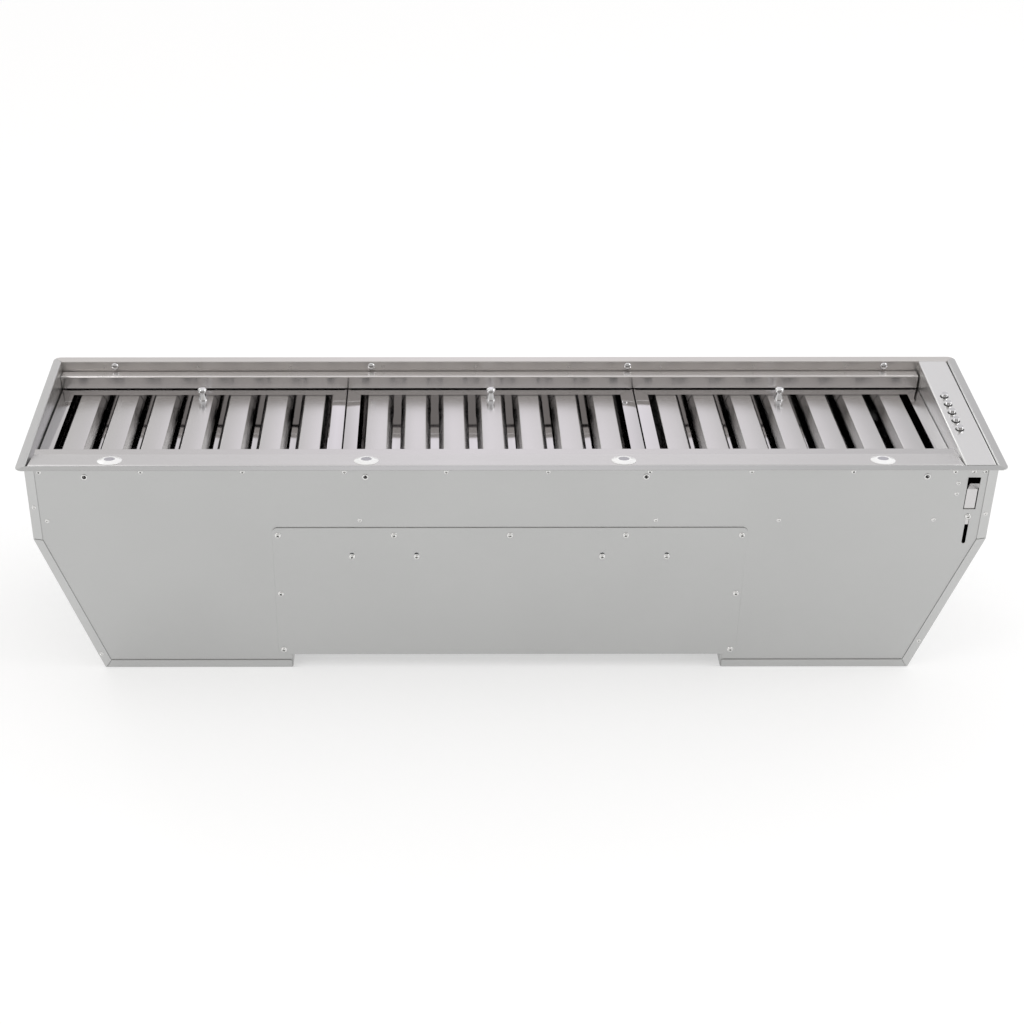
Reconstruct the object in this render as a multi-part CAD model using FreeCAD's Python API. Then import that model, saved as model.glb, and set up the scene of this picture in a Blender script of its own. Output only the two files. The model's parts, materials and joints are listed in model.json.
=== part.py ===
import FreeCAD, Part
import math
import os
from collections import namedtuple

V = FreeCAD.Vector
Screw = namedtuple("Screw", "head_r head_height shank_r length")

# A slim range hood insert, standing on its duct side with the intake face up.
# Millimetres. X runs along the insert, Y from the near wall to the far wall, Z up out of the intake face.
# The origin is at the middle of the bounding box in X and Y, at the level of the feet.

# Overall size and sheet
WIDTH = 1178.0
DEPTH = 284.0
HEIGHT = 298.4
SHEET = 1.2
BEND = 0.8
CORNER_RADIUS = 9.0
CUT = 1.0
SHORT_OF_CORNER = 0.2

# Body: outer faces of the walls, and the slanting lower ends
WALL_X = 579.2
WALL_Y = 132.0
KINK_Z = 195.0
FOOT_X = 510.0
HEM = 10.0
FOOT_HEM = 11.0
HEM_SLIT = 0.6
HEM_START = 1.5
HEM_CORNER = 2.5
NOTCH_X = 271.0
DECK_Z = 20.0
INNER_X = WALL_X - SHEET
INNER_Y = WALL_Y - SHEET
FLAT_Z = HEIGHT - SHEET
BEND_ZONE_Z = FLAT_Z - 1.5
SLANT = (WALL_X - FOOT_X) / KINK_Z
SLANT_SHEET = SHEET * math.hypot(1.0, SLANT)
INNER_KINK_Z = (INNER_X - FOOT_X + SLANT_SHEET) / SLANT

# Access cover on the near wall
COVER_X = 289.0
COVER_TOP_Z = 211.0
COVER_CORNER = 7.0
ACCESS_X = 272.0
ACCESS_Z = (36.0, 190.0)
COVER_SCREWS = [(x, 200.0) for x in (-282.0, -141.0, 0.0, 141.0, 282.0)]
COVER_SCREWS += [(x, z) for x in (-282.0, 282.0) for z in (113.5, 27.3)]
HANGER_SCREWS = [(x, 169.0) for x in (-192.5, -113.5, 113.5, 192.5)]
KEYHOLE_TOP_Z = 175.0
KEYHOLE_R = 2.4

# Screws
PAN_SCREW = Screw(head_r=4.0, head_height=1.8, shank_r=1.9, length=7.0)
RIM_SCREW = Screw(head_r=3.2, head_height=1.6, shank_r=1.6, length=6.0)
FAR_RIM_SCREW = RIM_SCREW._replace(length=SHEET)
FLUSH_SCREW = Screw(head_r=2.6, head_height=0.6, shank_r=1.4, length=4.0)
DOME_SCREW = Screw(head_r=5.0, head_height=3.2, shank_r=2.4, length=8.5)
HOLE_GAP = 0.1
HOLE_REACH = 8.0

# Rows of screws
RIM_SCREW_Z = 290.0
RIM_SCREW_PITCH = 121.2
NEAR_RIM_SCREWS = [-562.4 + RIM_SCREW_PITCH * n for n in range(10)] + [550.8, 564.4]
FAR_RIM_SCREWS = [-522.4 + RIM_SCREW_PITCH * n for n in range(9)]
WALL_SCREWS = [(-560.0, 220.5), (-182.0, 221.0), (176.0, 221.0), (324.8, 221.0), (512.0, 221.5)]
HEM_SCREWS = [(-573.6, 240.8), (573.3, 230.8), (-513.3, 21.2), (519.0, 40.2)]
BOX_SCREWS = [(534.5, 273.5), (534.5, 258.4)]

# Threaded sockets for the cabinet screws (near wall) and the dome screws (far wall)
SOCKET_PITCH = 335.0
SOCKET_X = [-6.5 + SOCKET_PITCH * (n - 1.5) for n in range(4)]
SOCKET_Z = 283.0
SOCKET_BORE_R = 2.5
SOCKET_BODY_R = 3.4
SOCKET_RIM_R = 3.8
SOCKET_RIM = 0.8
SOCKET_LENGTH = 9.0
DOME_Z = 291.0

# Light strip: its line in Y and Z, from the leg on the near wall to the lip
STRIP_X = (-575.5, 538.5)
STRIP_LEG_Z = 277.5
STRIP_TOP = (-INNER_Y, HEIGHT - 0.2)
STRIP_CREASE = (-93.0, 291.0)
STRIP_LIP = (-81.0, 291.4)
STRIP_ANGLE = math.atan2(STRIP_TOP[1] - STRIP_CREASE[1], STRIP_CREASE[0] - STRIP_TOP[0])

# Lamps
LAMP_X = [-480.2, -173.1, 134.9, 444.9]
LAMP_Y = -114.6
LAMP_RING_R = 14.8
LAMP_BODY_R = 12.5
LAMP_RIM = 0.7
LAMP_PROUD = 2.6
LAMP_BODY_DEPTH = 6.5
LAMP_CROWN_R = 8.2
LAMP_LENS_R = 6.5
LAMP_LENS_Z = (0.4, 2.8)
LAMP_LENS_GAP = 0.1

# Rear ledge
LEDGE_X = (-577.6, 538.5)
LEDGE_LEG_Z = 266.0
LEDGE_JOGGLE_Z = (274.0, 277.0)
LEDGE_GROOVE = 2.2
LEDGE_Z = 285.0
LEDGE_EDGE_Y = 113.8
LEDGE_DROP_Z = 267.6

# Filters, in their own frame: x along the hood, y from the front edge, z up from the lower face
FILTER_TILT = 3.2
FILTER_FRONT = (-80.0, 251.43)
FILTER_X = [-391.0, -18.5, 354.0]
FILTER_NAMES = ["left", "middle", "right"]
FILTER_WIDTH = 371.0
FILTER_DEPTH = 192.0
FILTER_HEIGHT = 26.0
FILTER_RAIL = 17.0
FILTER_SHEET = 1.0
FILTER_NOSE_R = 2.0
BAFFLE_SHEET = 0.8
BAFFLE_COUNT = 7
BAFFLE_PITCH = 48.4
BAFFLE_FLAT = 26.0
BAFFLE_SPREAD = 5.9
BAFFLE_DROP = 12.0
CHANNEL_SPREAD = 5.0
CHANNEL_RISE = 12.4
BAFFLE_GAP = 0.1
BAFFLE_END_GAP = 1.2
BAFFLE_BEND = 0.6
BAFFLE_TOP = FILTER_HEIGHT - FILTER_SHEET - BAFFLE_GAP
CHANNEL_FLOOR = FILTER_SHEET + BAFFLE_GAP
CHANNEL_SIDE_GAP = 0.4
CHANNEL_START = 12.0
TAB_GAP = 0.4
KNOB_Y = 165.0
KNOB_HEIGHT = 16.0
KNOB_STUD_R = 2.0
KNOB_STUD_LENGTH = 6.0
KNOB_BASE_R = 6.0
KNOB_NECK_R = 2.9
KNOB_HEAD_R = 6.0

# Rails under the filters
SEAT_GAP = 0.3
FRONT_RAIL_Z = 252.6
FRONT_RAIL_LEG_Z = 229.0
FRONT_RAIL_X = (-577.6, 539.5)
REAR_RAIL_X = (-577.6, 577.6)
REAR_RAIL_LEG_Z = 225.0
FRONT_SEAT_Y = (-80.9, -60.0)
FRONT_STEP = 1.6
REAR_SEAT_Y = 97.0

# Control panel, switch block and buttons
PANEL_X = (540.0, 577.2)
PANEL_Y = (-130.2, 130.2)
PANEL_TOP_Z = 298.0
PANEL_WALL_Z = 254.0
PANEL_SKIRT_Z = 277.0
TAB_Z = (254.5, 276.5)
TAB_REACH = 12.0
BUTTON_X = 552.5
BUTTON_PITCH = 20.6
BUTTON_Y = [36.2 - BUTTON_PITCH * n for n in range(5)]
BUTTON_R = 4.25
BUTTON_TOP_Z = 302.8
BUTTON_FLANGE_R = 5.2
BUTTON_FLANGE = 2.0
BUTTON_GAP = 0.3
BUTTON_COLLAR_R = 5.0
BUTTON_COLLAR_GAP = 0.2
BUTTON_COLLAR_Z = 298.6
BLOCK_X = (543.0, 562.0)
BLOCK_Y = (-58.0, 48.0)
BLOCK_Z = (272.0, 296.8)
BUTTON_WELL_Z = (279.0, 290.0)

# Clamp in its window, with the slot below
CLAMP_X = 553.0
CLAMP_WIDTH = 12.5
CLAMP_SHEET = 1.5
WINDOW_X = (545.5, 560.2)
WINDOW_Z = (236.5, 281.3)
SLOT_Z = (187.3, 228.4)
SLOT_HALF = 2.2
CLAMP_SCREW_Z = 226.1
CLAMP_GAP = 0.2
CLAMP_BACK_Y = -INNER_Y + CLAMP_GAP
CLAMP_FOOT_Z = 214.0
CLAMP_BEND_Z = 264.0
CLAMP_TIP = (-138.0, 275.0)

# Twin blower: axis along X
BLOWER_Y = -38.0
BLOWER_Z = 138.0
IMPELLER_R = 56.0
IMPELLER_X = (69.0, 160.0)
WHEEL_BACK = 1.5
WHEEL_RING = 3.0
BLADE_COUNT = 28
BLADE_LENGTH = 11.0
BLADE_SHEET = 1.0
BLADE_LEAN = 25.0
HUB_R = 11.0
HUB_LENGTH = 20.0
SHAFT_R = 4.0
SHAFT_GAP = 0.05
SHAFT_END_X = 162.0
SCROLL_X = (64.0, 172.0)
SCROLL_START_R = 64.0
SCROLL_END_R = 118.0
SCROLL_ARCS = 5
TONGUE_Y = 40.0
INLET_R = 46.0
SHAFT_HOLE_R = 14.0
MOTOR_R = 42.0
MOTOR_HALF = 44.0
MOTOR_BOSS_R = 28.0
MOTOR_BOSS_END = 52.0
CRADLE_X = (46.0, 48.0)
CRADLE_Y = 34.0
CRADLE_TOP_Z = 174.0

# Blower plate, duct collar and backdraft flaps
PLATE_X = 206.0
PLATE_FAR_Y = 100.0
PLATE_Z = 62.0
PLATE_EAR_X = 100.0
PLATE_EAR_TOP_Z = 182.0
DUCT_HALF_X = 177.8
DUCT_Y = 42.0
DUCT_HALF_Y = 41.3
DUCT_SHEET = 1.0
DUCT_BOTTOM_Z = 2.0
DUCT_FLANGE = 12.0
DUCT_GAP = 0.6
FLAP_Z = 50.0
FLAP_HINGE_Y = 3.5
FLAP_X = 175.8
FLAP_SHEET = 0.8
FLAP_WALL_GAP = 0.7
ROD_R = 2.0
KNUCKLE_R = (2.3, 3.1)

# Electrical parts
BOX_X = (210.0, 262.0)
BOX_Y = (-60.0, 20.0)
BOX_TOP_Z = 76.0
GLAND = (236.0, -20.0)
GLAND_BORE_R = 4.0
GLAND_THREAD_R = 7.0
GLAND_NOSE_R = 8.5
GLAND_NOSE_Z = (3.0, 13.0)
GLAND_COLLAR_R = 10.5
GLAND_NUT_R = 10.0
GLAND_NUT = 4.0
GLAND_TAPER = 3.0
DRIVER_X = (330.0, 450.0)
DRIVER_Y = (-20.0, 30.0)
DRIVER_HEIGHT = 30.0
DRIVER_FOOT = 10.0
DRIVER_FOOT_SHEET = 2.0

ALONG_X = FreeCAD.Rotation(V(1, 1, 1), 120)
ALONG_Y = FreeCAD.Rotation(V(1, 0, 0), 90)
FACING_NEAR = FreeCAD.Rotation(V(1, 0, 0), 90)
FACING_FAR = FreeCAD.Rotation(V(1, 0, 0), -90)
UPRIGHT = FreeCAD.Rotation()


def box(xs, ys, zs):
    """Box between pairs of limits in X, Y and Z."""
    size = (xs[1] - xs[0], ys[1] - ys[0], zs[1] - zs[0])
    return Part.makeBox(*size, V(xs[0], ys[0], zs[0]))


def rod(radius, start, end):
    """Round rod from one point to another."""
    return Part.makeCylinder(radius, (end - start).Length, start, end - start)


def placed(shape, position, rotation=UPRIGHT):
    """The shape, turned about the origin and then moved to a position."""
    moved = shape.copy()
    moved.Placement = FreeCAD.Placement(position, rotation).multiply(shape.Placement)
    return moved


def mirrored(shape, normal):
    """The shape's mirror image in the plane through the origin with this normal."""
    return shape.mirror(V(0, 0, 0), normal)


def on_both_sides(shape, normal):
    """The shape and its mirror image."""
    return [shape, mirrored(shape, normal)]


def rounded_edges(points, radii):
    """Straight edges through the points, with an arc of the given radius at each inner corner."""
    edges = []
    start = points[0]
    for corner, before, after, radius in zip(points[1:-1], points, points[2:], radii[1:-1]):
        back = (before - corner).normalize()
        ahead = (after - corner).normalize()
        half = back.getAngle(ahead) / 2
        if radius <= 0 or math.pi / 2 - half < 1e-6:
            edges.append(Part.makeLine(start, corner))
            start = corner
            continue
        reach = radius / math.tan(half)
        first = corner + back * reach
        last = corner + ahead * reach
        middle = corner + (back + ahead).normalize() * (radius / math.sin(half) - radius)
        if (first - start).Length > 1e-6:
            edges.append(Part.makeLine(start, first))
        edges.append(Part.Arc(first, middle, last).toShape())
        start = last
    edges.append(Part.makeLine(start, points[-1]))
    return edges


def flat_outline(points, radii=None):
    """Face in the XY plane inside closed points, with optional corner radii."""
    corners = [V(a, b, 0) for a, b in points]
    rounding = list(radii) if radii else [0.0] * len(corners)
    middle = (corners[0] + corners[-1]) * 0.5
    edges = rounded_edges([middle] + corners + [middle], [0.0] + rounding + [0.0])
    return Part.Face(Part.Wire(Part.__sortEdges__(edges)))


def sheet_face(line, thickness, bend, side):
    """Section of a bent sheet: the line, thickened to its left (side 1) or right (side -1)."""
    near = [V(a, b, 0) for a, b in line]
    far, near_radii, far_radii = [], [], []
    for index, point in enumerate(near):
        first = near[max(index - 1, 0)]
        ahead = near[min(index + 1, len(near) - 1)]
        before = (point - first).normalize() if index > 0 else (ahead - point).normalize()
        after = (ahead - point).normalize() if index < len(near) - 1 else V(before)
        before_normal = V(-before.y, before.x, 0) * side
        after_normal = V(-after.y, after.x, 0) * side
        share = thickness / (1 + before_normal.dot(after_normal))
        far.append(point + (before_normal + after_normal) * share)
        folds_to_far = before.cross(after).z * side > 0
        near_radii.append(bend + thickness if folds_to_far and bend > 0 else bend)
        far_radii.append(bend if folds_to_far or bend <= 0 else bend + thickness)
    edges = rounded_edges(near, near_radii)
    edges.append(Part.makeLine(near[-1], far[-1]))
    edges += rounded_edges(far[::-1], far_radii[::-1])
    edges.append(Part.makeLine(far[0], near[0]))
    return Part.Face(Part.Wire(Part.__sortEdges__(edges)))


def along_x(face, xs):
    """Solid from a section given in Y and Z, between two values of X."""
    return placed(face.extrude(V(0, 0, xs[1] - xs[0])), V(xs[0], 0, 0), ALONG_X)


def along_y(face, ys):
    """Solid from a section given in X and Z, between two values of Y."""
    return placed(face.extrude(V(0, 0, ys[1] - ys[0])), V(0, ys[1], 0), ALONG_Y)


def turned(profile, radii=None):
    """Solid of revolution about Z from points of radius and height."""
    face = flat_outline(profile, radii)
    solid = face.revolve(V(0, 0, 0), V(0, 1, 0), 360)
    return placed(solid, V(0, 0, 0), FreeCAD.Rotation(V(1, 0, 0), 90))


def screw(kind, x, face_y, z, facing):
    """Domed screw whose head stands on the wall face at face_y."""
    profile = [
        (0, kind.head_height),
        (kind.head_r, kind.head_height),
        (kind.head_r, 0),
        (kind.shank_r, 0),
        (kind.shank_r, -kind.length),
        (0, -kind.length),
    ]
    radii = [0, kind.head_height * 0.95, 0, 0, 0, 0]
    return placed(turned(profile, radii), V(x, face_y, z), facing)


def wall_holes(kind, places, side):
    """Cutters for the shanks of screws through a long wall; side is -1 near and 1 far."""
    radius = kind.shank_r + HOLE_GAP
    reach = (side * (INNER_Y - HOLE_REACH), side * (WALL_Y + HOLE_REACH))
    return [rod(radius, V(x, min(reach), z), V(x, max(reach), z)) for x, z in places]


def slot_cutter(x, z_low, z_high, half_width, ys):
    """Upright slot with round ends through a long wall."""
    cutters = [box((x - half_width, x + half_width), ys, (z_low, z_high))]
    cutters += [rod(half_width, V(x, ys[0], z), V(x, ys[1], z)) for z in (z_low, z_high)]
    return cutters


def flange_ring():
    """Flat rectangle of the whole rim with rounded corners, from below the bend up to the rim."""
    plate = box((-WIDTH / 2, WIDTH / 2), (-DEPTH / 2, DEPTH / 2), (BEND_ZONE_Z, HEIGHT))
    upright = [edge for edge in plate.Edges if abs(edge.Vertexes[0].Z - edge.Vertexes[-1].Z) > 1.0]
    return plate.makeFillet(CORNER_RADIUS, upright)


def rim_zone(points):
    """Mitred stretch of the rim, as a cutter."""
    wire = Part.makePolygon([V(x, y, BEND_ZONE_Z) for x, y in points + points[:1]])
    return Part.Face(wire).extrude(V(0, 0, HEIGHT - BEND_ZONE_Z)).common(flange_ring())


def slant_x(z):
    """Inner face of the end wall at a height below the kink."""
    return FOOT_X - SLANT_SHEET + SLANT * z


def long_wall():
    """Near wall without its holes: the wall, its flange, the slanting ends and the notch."""
    line = [(-DEPTH / 2, HEIGHT), (-INNER_Y, HEIGHT), (-INNER_Y, 0)]
    sheet = along_x(sheet_face(line, SHEET, BEND, -1), (-WIDTH / 2, WIDTH / 2))
    edge_x = INNER_X - SHORT_OF_CORNER
    half = [
        (edge_x, BEND_ZONE_Z),
        (edge_x, INNER_KINK_Z),
        (slant_x(SHEET), SHEET),
        (NOTCH_X + SHEET, SHEET),
        (NOTCH_X + SHEET, DECK_Z + SHEET),
    ]
    outline = half + [(-x, z) for x, z in half[::-1]]
    radii = [0, 0, 0, BEND, 0]
    wall = along_y(flat_outline(outline, radii + radii[::-1]), (-WALL_Y, -INNER_Y))
    corner = (WIDTH / 2, -DEPTH / 2)
    reach = DEPTH / 2 - INNER_Y
    rim = [(-corner[0], corner[1]), corner, (corner[0] - reach, -INNER_Y), (reach - corner[0], -INNER_Y)]
    return sheet.common(wall.fuse(rim_zone(rim)))


def socket_holes():
    """Cutters for the cabinet sockets' bodies, through the near wall and what lies on it."""
    ends = (-WALL_Y - CUT, SOCKET_LENGTH - WALL_Y)
    return [rod(SOCKET_BODY_R, *[V(x, y, SOCKET_Z) for y in ends]) for x in SOCKET_X]


def near_panel():
    """Near wall with its access opening, screw holes, clamp window and clamp slot."""
    through = (-WALL_Y - CUT, -INNER_Y + CUT)
    opening = box((-ACCESS_X, ACCESS_X), through, ACCESS_Z)
    cutters = [opening, box(WINDOW_X, through, WINDOW_Z)]
    cutters += slot_cutter(CLAMP_X, SLOT_Z[0] + SLOT_HALF, SLOT_Z[1] - SLOT_HALF, SLOT_HALF, through)
    cutters += wall_holes(PAN_SCREW, COVER_SCREWS, -1)
    cutters += wall_holes(RIM_SCREW, [(x, RIM_SCREW_Z) for x in NEAR_RIM_SCREWS], -1)
    cutters += wall_holes(FLUSH_SCREW, WALL_SCREWS + HEM_SCREWS + BOX_SCREWS, -1)
    cutters += socket_holes()
    return long_wall().cut(cutters)


def far_panel():
    """Far wall with its screw holes."""
    cutters = wall_holes(RIM_SCREW, [(x, RIM_SCREW_Z) for x in FAR_RIM_SCREWS], 1)
    cutters += wall_holes(DOME_SCREW, [(x, DOME_Z) for x in SOCKET_X], 1)
    cutters += wall_holes(FLUSH_SCREW, WALL_SCREWS + HEM_SCREWS, 1)
    return mirrored(long_wall(), V(0, 1, 0)).cut(cutters)


def hem_corner():
    """Inner corner where the slanting hem meets the foot's hem."""
    return (slant_x(FOOT_HEM) - HEM * math.hypot(1.0, SLANT), FOOT_HEM)


def end_wall():
    """Right end wall without its screw holes: flange, upright and slanting wall, and the folded hems."""
    top = BEND_ZONE_Z
    line = [(WIDTH / 2, HEIGHT), (INNER_X, HEIGHT), (INNER_X, INNER_KINK_Z), (slant_x(0), 0)]
    sheet = along_y(sheet_face(line, SHEET, BEND, 1), (-DEPTH / 2, DEPTH / 2))
    hem_y = WALL_Y + SHEET
    reach = WIDTH / 2 - INNER_X
    corner = (WIDTH / 2, DEPTH / 2)
    rim = [(corner[0], -corner[1]), corner, (INNER_X, corner[1] - reach), (INNER_X, reach - corner[1])]
    zone = box((0, WALL_X + CUT), (-hem_y, hem_y), (0, top)).fuse(rim_zone(rim))
    wall = sheet.common(zone)
    kink = (INNER_X - HEM, INNER_KINK_Z - HEM * math.tan(math.atan(SLANT) / 2))
    outer = [(INNER_X, top), (INNER_X, INNER_KINK_Z), (slant_x(0), 0)]
    inner = [hem_corner(), kink, (INNER_X - HEM, top)]
    hem = along_y(flat_outline(outer + inner), (-hem_y, -WALL_Y))
    slit = along_y(sheet_face([kink, outer[1]], HEM_SLIT, 0, 1), (-hem_y - CUT, -WALL_Y))
    return wall.fuse(on_both_sides(hem.cut(slit), V(0, 1, 0))).removeSplitter()


def hem_holes():
    """Cutters for the screws through the hems, near and far."""
    return wall_holes(FLUSH_SCREW, HEM_SCREWS, -1) + wall_holes(FLUSH_SCREW, HEM_SCREWS, 1)


def right_end_panel():
    """Right end wall with its screw holes."""
    return end_wall().cut(hem_holes())


def left_end_panel():
    """Left end wall: the right one's mirror image, with its own screw holes."""
    return mirrored(end_wall(), V(1, 0, 0)).cut(hem_holes())


def bottom_deck():
    """Recessed deck between the two feet, with the duct and gland openings."""
    deck = box((-NOTCH_X, NOTCH_X), (-WALL_Y, WALL_Y), (DECK_Z, DECK_Z + SHEET))
    duct = duct_opening(DUCT_GAP, (DECK_Z - CUT, DECK_Z + SHEET + CUT))
    gland = rod(GLAND_THREAD_R + HOLE_GAP, V(*GLAND, DECK_Z - CUT), V(*GLAND, DECK_Z + SHEET + CUT))
    return deck.cut([duct, gland])


def foot_pans():
    """The two feet: floor, step up to the deck, and a hem on each long wall."""
    foot_end = slant_x(0)
    line = [(NOTCH_X, DECK_Z + SHEET), (NOTCH_X, 0), (foot_end, 0)]
    pan = along_y(sheet_face(line, SHEET, BEND, 1), (-WALL_Y, WALL_Y))
    mitre = (hem_corner()[0] - HEM_SLIT, FOOT_HEM)
    start = NOTCH_X + HEM_START
    outline = [(start, 0), (foot_end - HEM_SLIT, 0), mitre, (start, FOOT_HEM)]
    hem = along_y(flat_outline(outline, [0, 0, 0, HEM_CORNER]), (-WALL_Y - SHEET, -WALL_Y))
    right = pan.fuse(on_both_sides(hem, V(0, 1, 0))).removeSplitter()
    return Part.makeCompound(on_both_sides(right, V(1, 0, 0)))


def duct_opening(margin, zs):
    """Cutter or core of the duct's outer outline, grown by a margin."""
    xs = (-DUCT_HALF_X - margin, DUCT_HALF_X + margin)
    ys = (DUCT_Y - DUCT_HALF_Y - margin, DUCT_Y + DUCT_HALF_Y + margin)
    return box(xs, ys, zs)


def access_cover():
    """Flat cover with rounded upper corners, nine screw holes and four keyholes."""
    outline = [(-COVER_X, DECK_Z), (COVER_X, DECK_Z), (COVER_X, COVER_TOP_Z), (-COVER_X, COVER_TOP_Z)]
    face = flat_outline(outline, [BEND, BEND, COVER_CORNER, COVER_CORNER])
    cover = along_y(face, (-WALL_Y - SHEET, -WALL_Y))
    ys = (-WALL_Y - SHEET - CUT, -WALL_Y + CUT)
    cutters = wall_holes(PAN_SCREW, COVER_SCREWS, -1)
    for x, z in HANGER_SCREWS:
        cutters += slot_cutter(x, z, KEYHOLE_TOP_Z - KEYHOLE_R, KEYHOLE_R, ys)
    return cover.cut(cutters)


def light_strip():
    """Sheet with a leg on the near wall, the sloping face with four lamp holes, and the lip."""
    line = [(-INNER_Y, STRIP_LEG_Z), STRIP_TOP, STRIP_CREASE, STRIP_LIP]
    strip = along_x(sheet_face(line, SHEET, BEND, -1), STRIP_X)
    lamp_hole = rod(LAMP_BODY_R + HOLE_GAP, V(0, 0, -SHEET - CUT), V(0, 0, CUT))
    cutters = [on_strip(lamp_hole, x) for x in LAMP_X]
    cutters += wall_holes(RIM_SCREW, [(x, RIM_SCREW_Z) for x in NEAR_RIM_SCREWS], -1)
    cutters += socket_holes()
    return strip.cut(cutters)


def on_strip(shape, x):
    """The shape, standing on the strip's sloping face at a lamp's place."""
    height = STRIP_TOP[1] - math.tan(STRIP_ANGLE) * (LAMP_Y - STRIP_TOP[0])
    return placed(shape, V(x, LAMP_Y, height), FreeCAD.Rotation(V(1, 0, 0), -math.degrees(STRIP_ANGLE)))


def lamp_housing(x):
    """Ring that rises to a crown around the lens, and the body in the strip's hole."""
    seat = LAMP_LENS_Z[0]
    profile = [
        (0, -LAMP_BODY_DEPTH),
        (LAMP_BODY_R, -LAMP_BODY_DEPTH),
        (LAMP_BODY_R, 0),
        (LAMP_RING_R, 0),
        (LAMP_RING_R, LAMP_RIM),
        (LAMP_CROWN_R, LAMP_PROUD),
        (LAMP_LENS_R, LAMP_PROUD),
        (LAMP_LENS_R, seat),
        (0, seat),
    ]
    radii = [0, 0.8, 0, 0, 0.4, 0.8, 0, 0, 0]
    return on_strip(turned(profile, radii), x)


def lamp_lens(x):
    """Low round lens in the middle of a lamp."""
    radius = LAMP_LENS_R - LAMP_LENS_GAP
    seat, top = LAMP_LENS_Z
    profile = [(0, seat), (radius, seat), (radius, top), (0, top)]
    return on_strip(turned(profile, [0, 0, 1.4, 0]), x)


def rear_ledge():
    """Leg on the far wall, stepped clear of it above, the ledge, and the drop wall behind the filters."""
    clear_y = INNER_Y - LEDGE_GROOVE
    line = [
        (INNER_Y, LEDGE_LEG_Z),
        (INNER_Y, LEDGE_JOGGLE_Z[0]),
        (clear_y, LEDGE_JOGGLE_Z[1]),
        (clear_y, LEDGE_Z),
        (LEDGE_EDGE_Y, LEDGE_Z),
        (LEDGE_EDGE_Y, LEDGE_DROP_Z),
    ]
    return along_x(sheet_face(line, SHEET, BEND, 1), LEDGE_X)


def seat_z(y):
    """Height of the rails' seats, just under the filters' lower faces."""
    drop = math.tan(math.radians(FILTER_TILT)) * (y - FILTER_FRONT[0])
    return FILTER_FRONT[1] - drop - SEAT_GAP


def front_rest_rail():
    """Rail under the filters' front edges: leg, shelf, a small step and the seat."""
    step_y, end_y = FRONT_SEAT_Y
    line = [
        (-INNER_Y, FRONT_RAIL_LEG_Z),
        (-INNER_Y, FRONT_RAIL_Z),
        (step_y - FRONT_STEP, FRONT_RAIL_Z),
        (step_y, seat_z(step_y)),
        (end_y, seat_z(end_y)),
    ]
    rail = along_x(sheet_face(line, SHEET, 0, -1), FRONT_RAIL_X)
    return rail.cut(hem_holes())


def rear_rest_rail():
    """Rail under the filters' rear edges: the seat and its leg on the far wall."""
    line = [(REAR_SEAT_Y, seat_z(REAR_SEAT_Y)), (INNER_Y, seat_z(INNER_Y)), (INNER_Y, REAR_RAIL_LEG_Z)]
    return along_x(sheet_face(line, SHEET, BEND, -1), REAR_RAIL_X).cut(hem_holes())


def control_panel():
    """Top plate with five holes, its side wall down to the filters, a short skirt and two tabs."""
    left, right = PANEL_X
    line = [(left, PANEL_WALL_Z), (left, PANEL_TOP_Z), (right, PANEL_TOP_Z), (right, PANEL_SKIRT_Z)]
    panel = along_y(sheet_face(line, SHEET, BEND, -1), PANEL_Y)
    near_tab = box((left - TAB_REACH, left + SHEET), (-INNER_Y, SHEET - INNER_Y), TAB_Z)
    near_link = box((left, left + SHEET), (-INNER_Y, PANEL_Y[0]), TAB_Z)
    far_tab = box((left, left + TAB_REACH), (INNER_Y - SHEET, INNER_Y), TAB_Z)
    far_link = box((left, left + SHEET), (PANEL_Y[1], INNER_Y), TAB_Z)
    panel = panel.fuse([near_tab, near_link, far_tab, far_link])
    hole_r = BUTTON_COLLAR_R + BUTTON_COLLAR_GAP
    low, high = PANEL_TOP_Z - SHEET - CUT, PANEL_TOP_Z + CUT
    cutters = [rod(hole_r, V(BUTTON_X, y, low), V(BUTTON_X, y, high)) for y in BUTTON_Y]
    cutters += wall_holes(FLUSH_SCREW, BOX_SCREWS, -1)
    return panel.cut(cutters).removeSplitter()


def switch_block():
    """Plastic block under the panel; its collars stand in the panel's holes around the buttons."""
    block = box(BLOCK_X, BLOCK_Y, BLOCK_Z)
    well_low, well_high = BUTTON_WELL_Z
    collars = []
    cutters = []
    for y in BUTTON_Y:
        root, well, shoulder, top, above = [
            V(BUTTON_X, y, z) for z in (BLOCK_Z[1] - CUT, well_low, well_high, BUTTON_COLLAR_Z, BUTTON_TOP_Z)
        ]
        collars.append(rod(BUTTON_COLLAR_R, root, top))
        cutters.append(rod(BUTTON_R + BUTTON_GAP, well, above))
        cutters.append(rod(BUTTON_FLANGE_R + BUTTON_GAP, well, shoulder))
    return block.fuse(collars).cut(cutters)


def button(y):
    """Cylinder button with a retaining flange under the block's shoulder."""
    flange_top = BUTTON_WELL_Z[1] - BUTTON_GAP
    flange_bottom = flange_top - BUTTON_FLANGE
    profile = [
        (0, flange_bottom),
        (BUTTON_FLANGE_R, flange_bottom),
        (BUTTON_FLANGE_R, flange_top),
        (BUTTON_R, flange_top),
        (BUTTON_R, BUTTON_TOP_Z),
        (0, BUTTON_TOP_Z),
    ]
    return placed(turned(profile, [0, 0, 0, 0, 0.7, 0]), V(BUTTON_X, y, 0))


def on_filter(shape, x):
    """A shape given in a filter's own frame, at that filter's place."""
    tilt = FreeCAD.Rotation(V(1, 0, 0), -FILTER_TILT)
    return placed(shape, V(x, *FILTER_FRONT), tilt)


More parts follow.
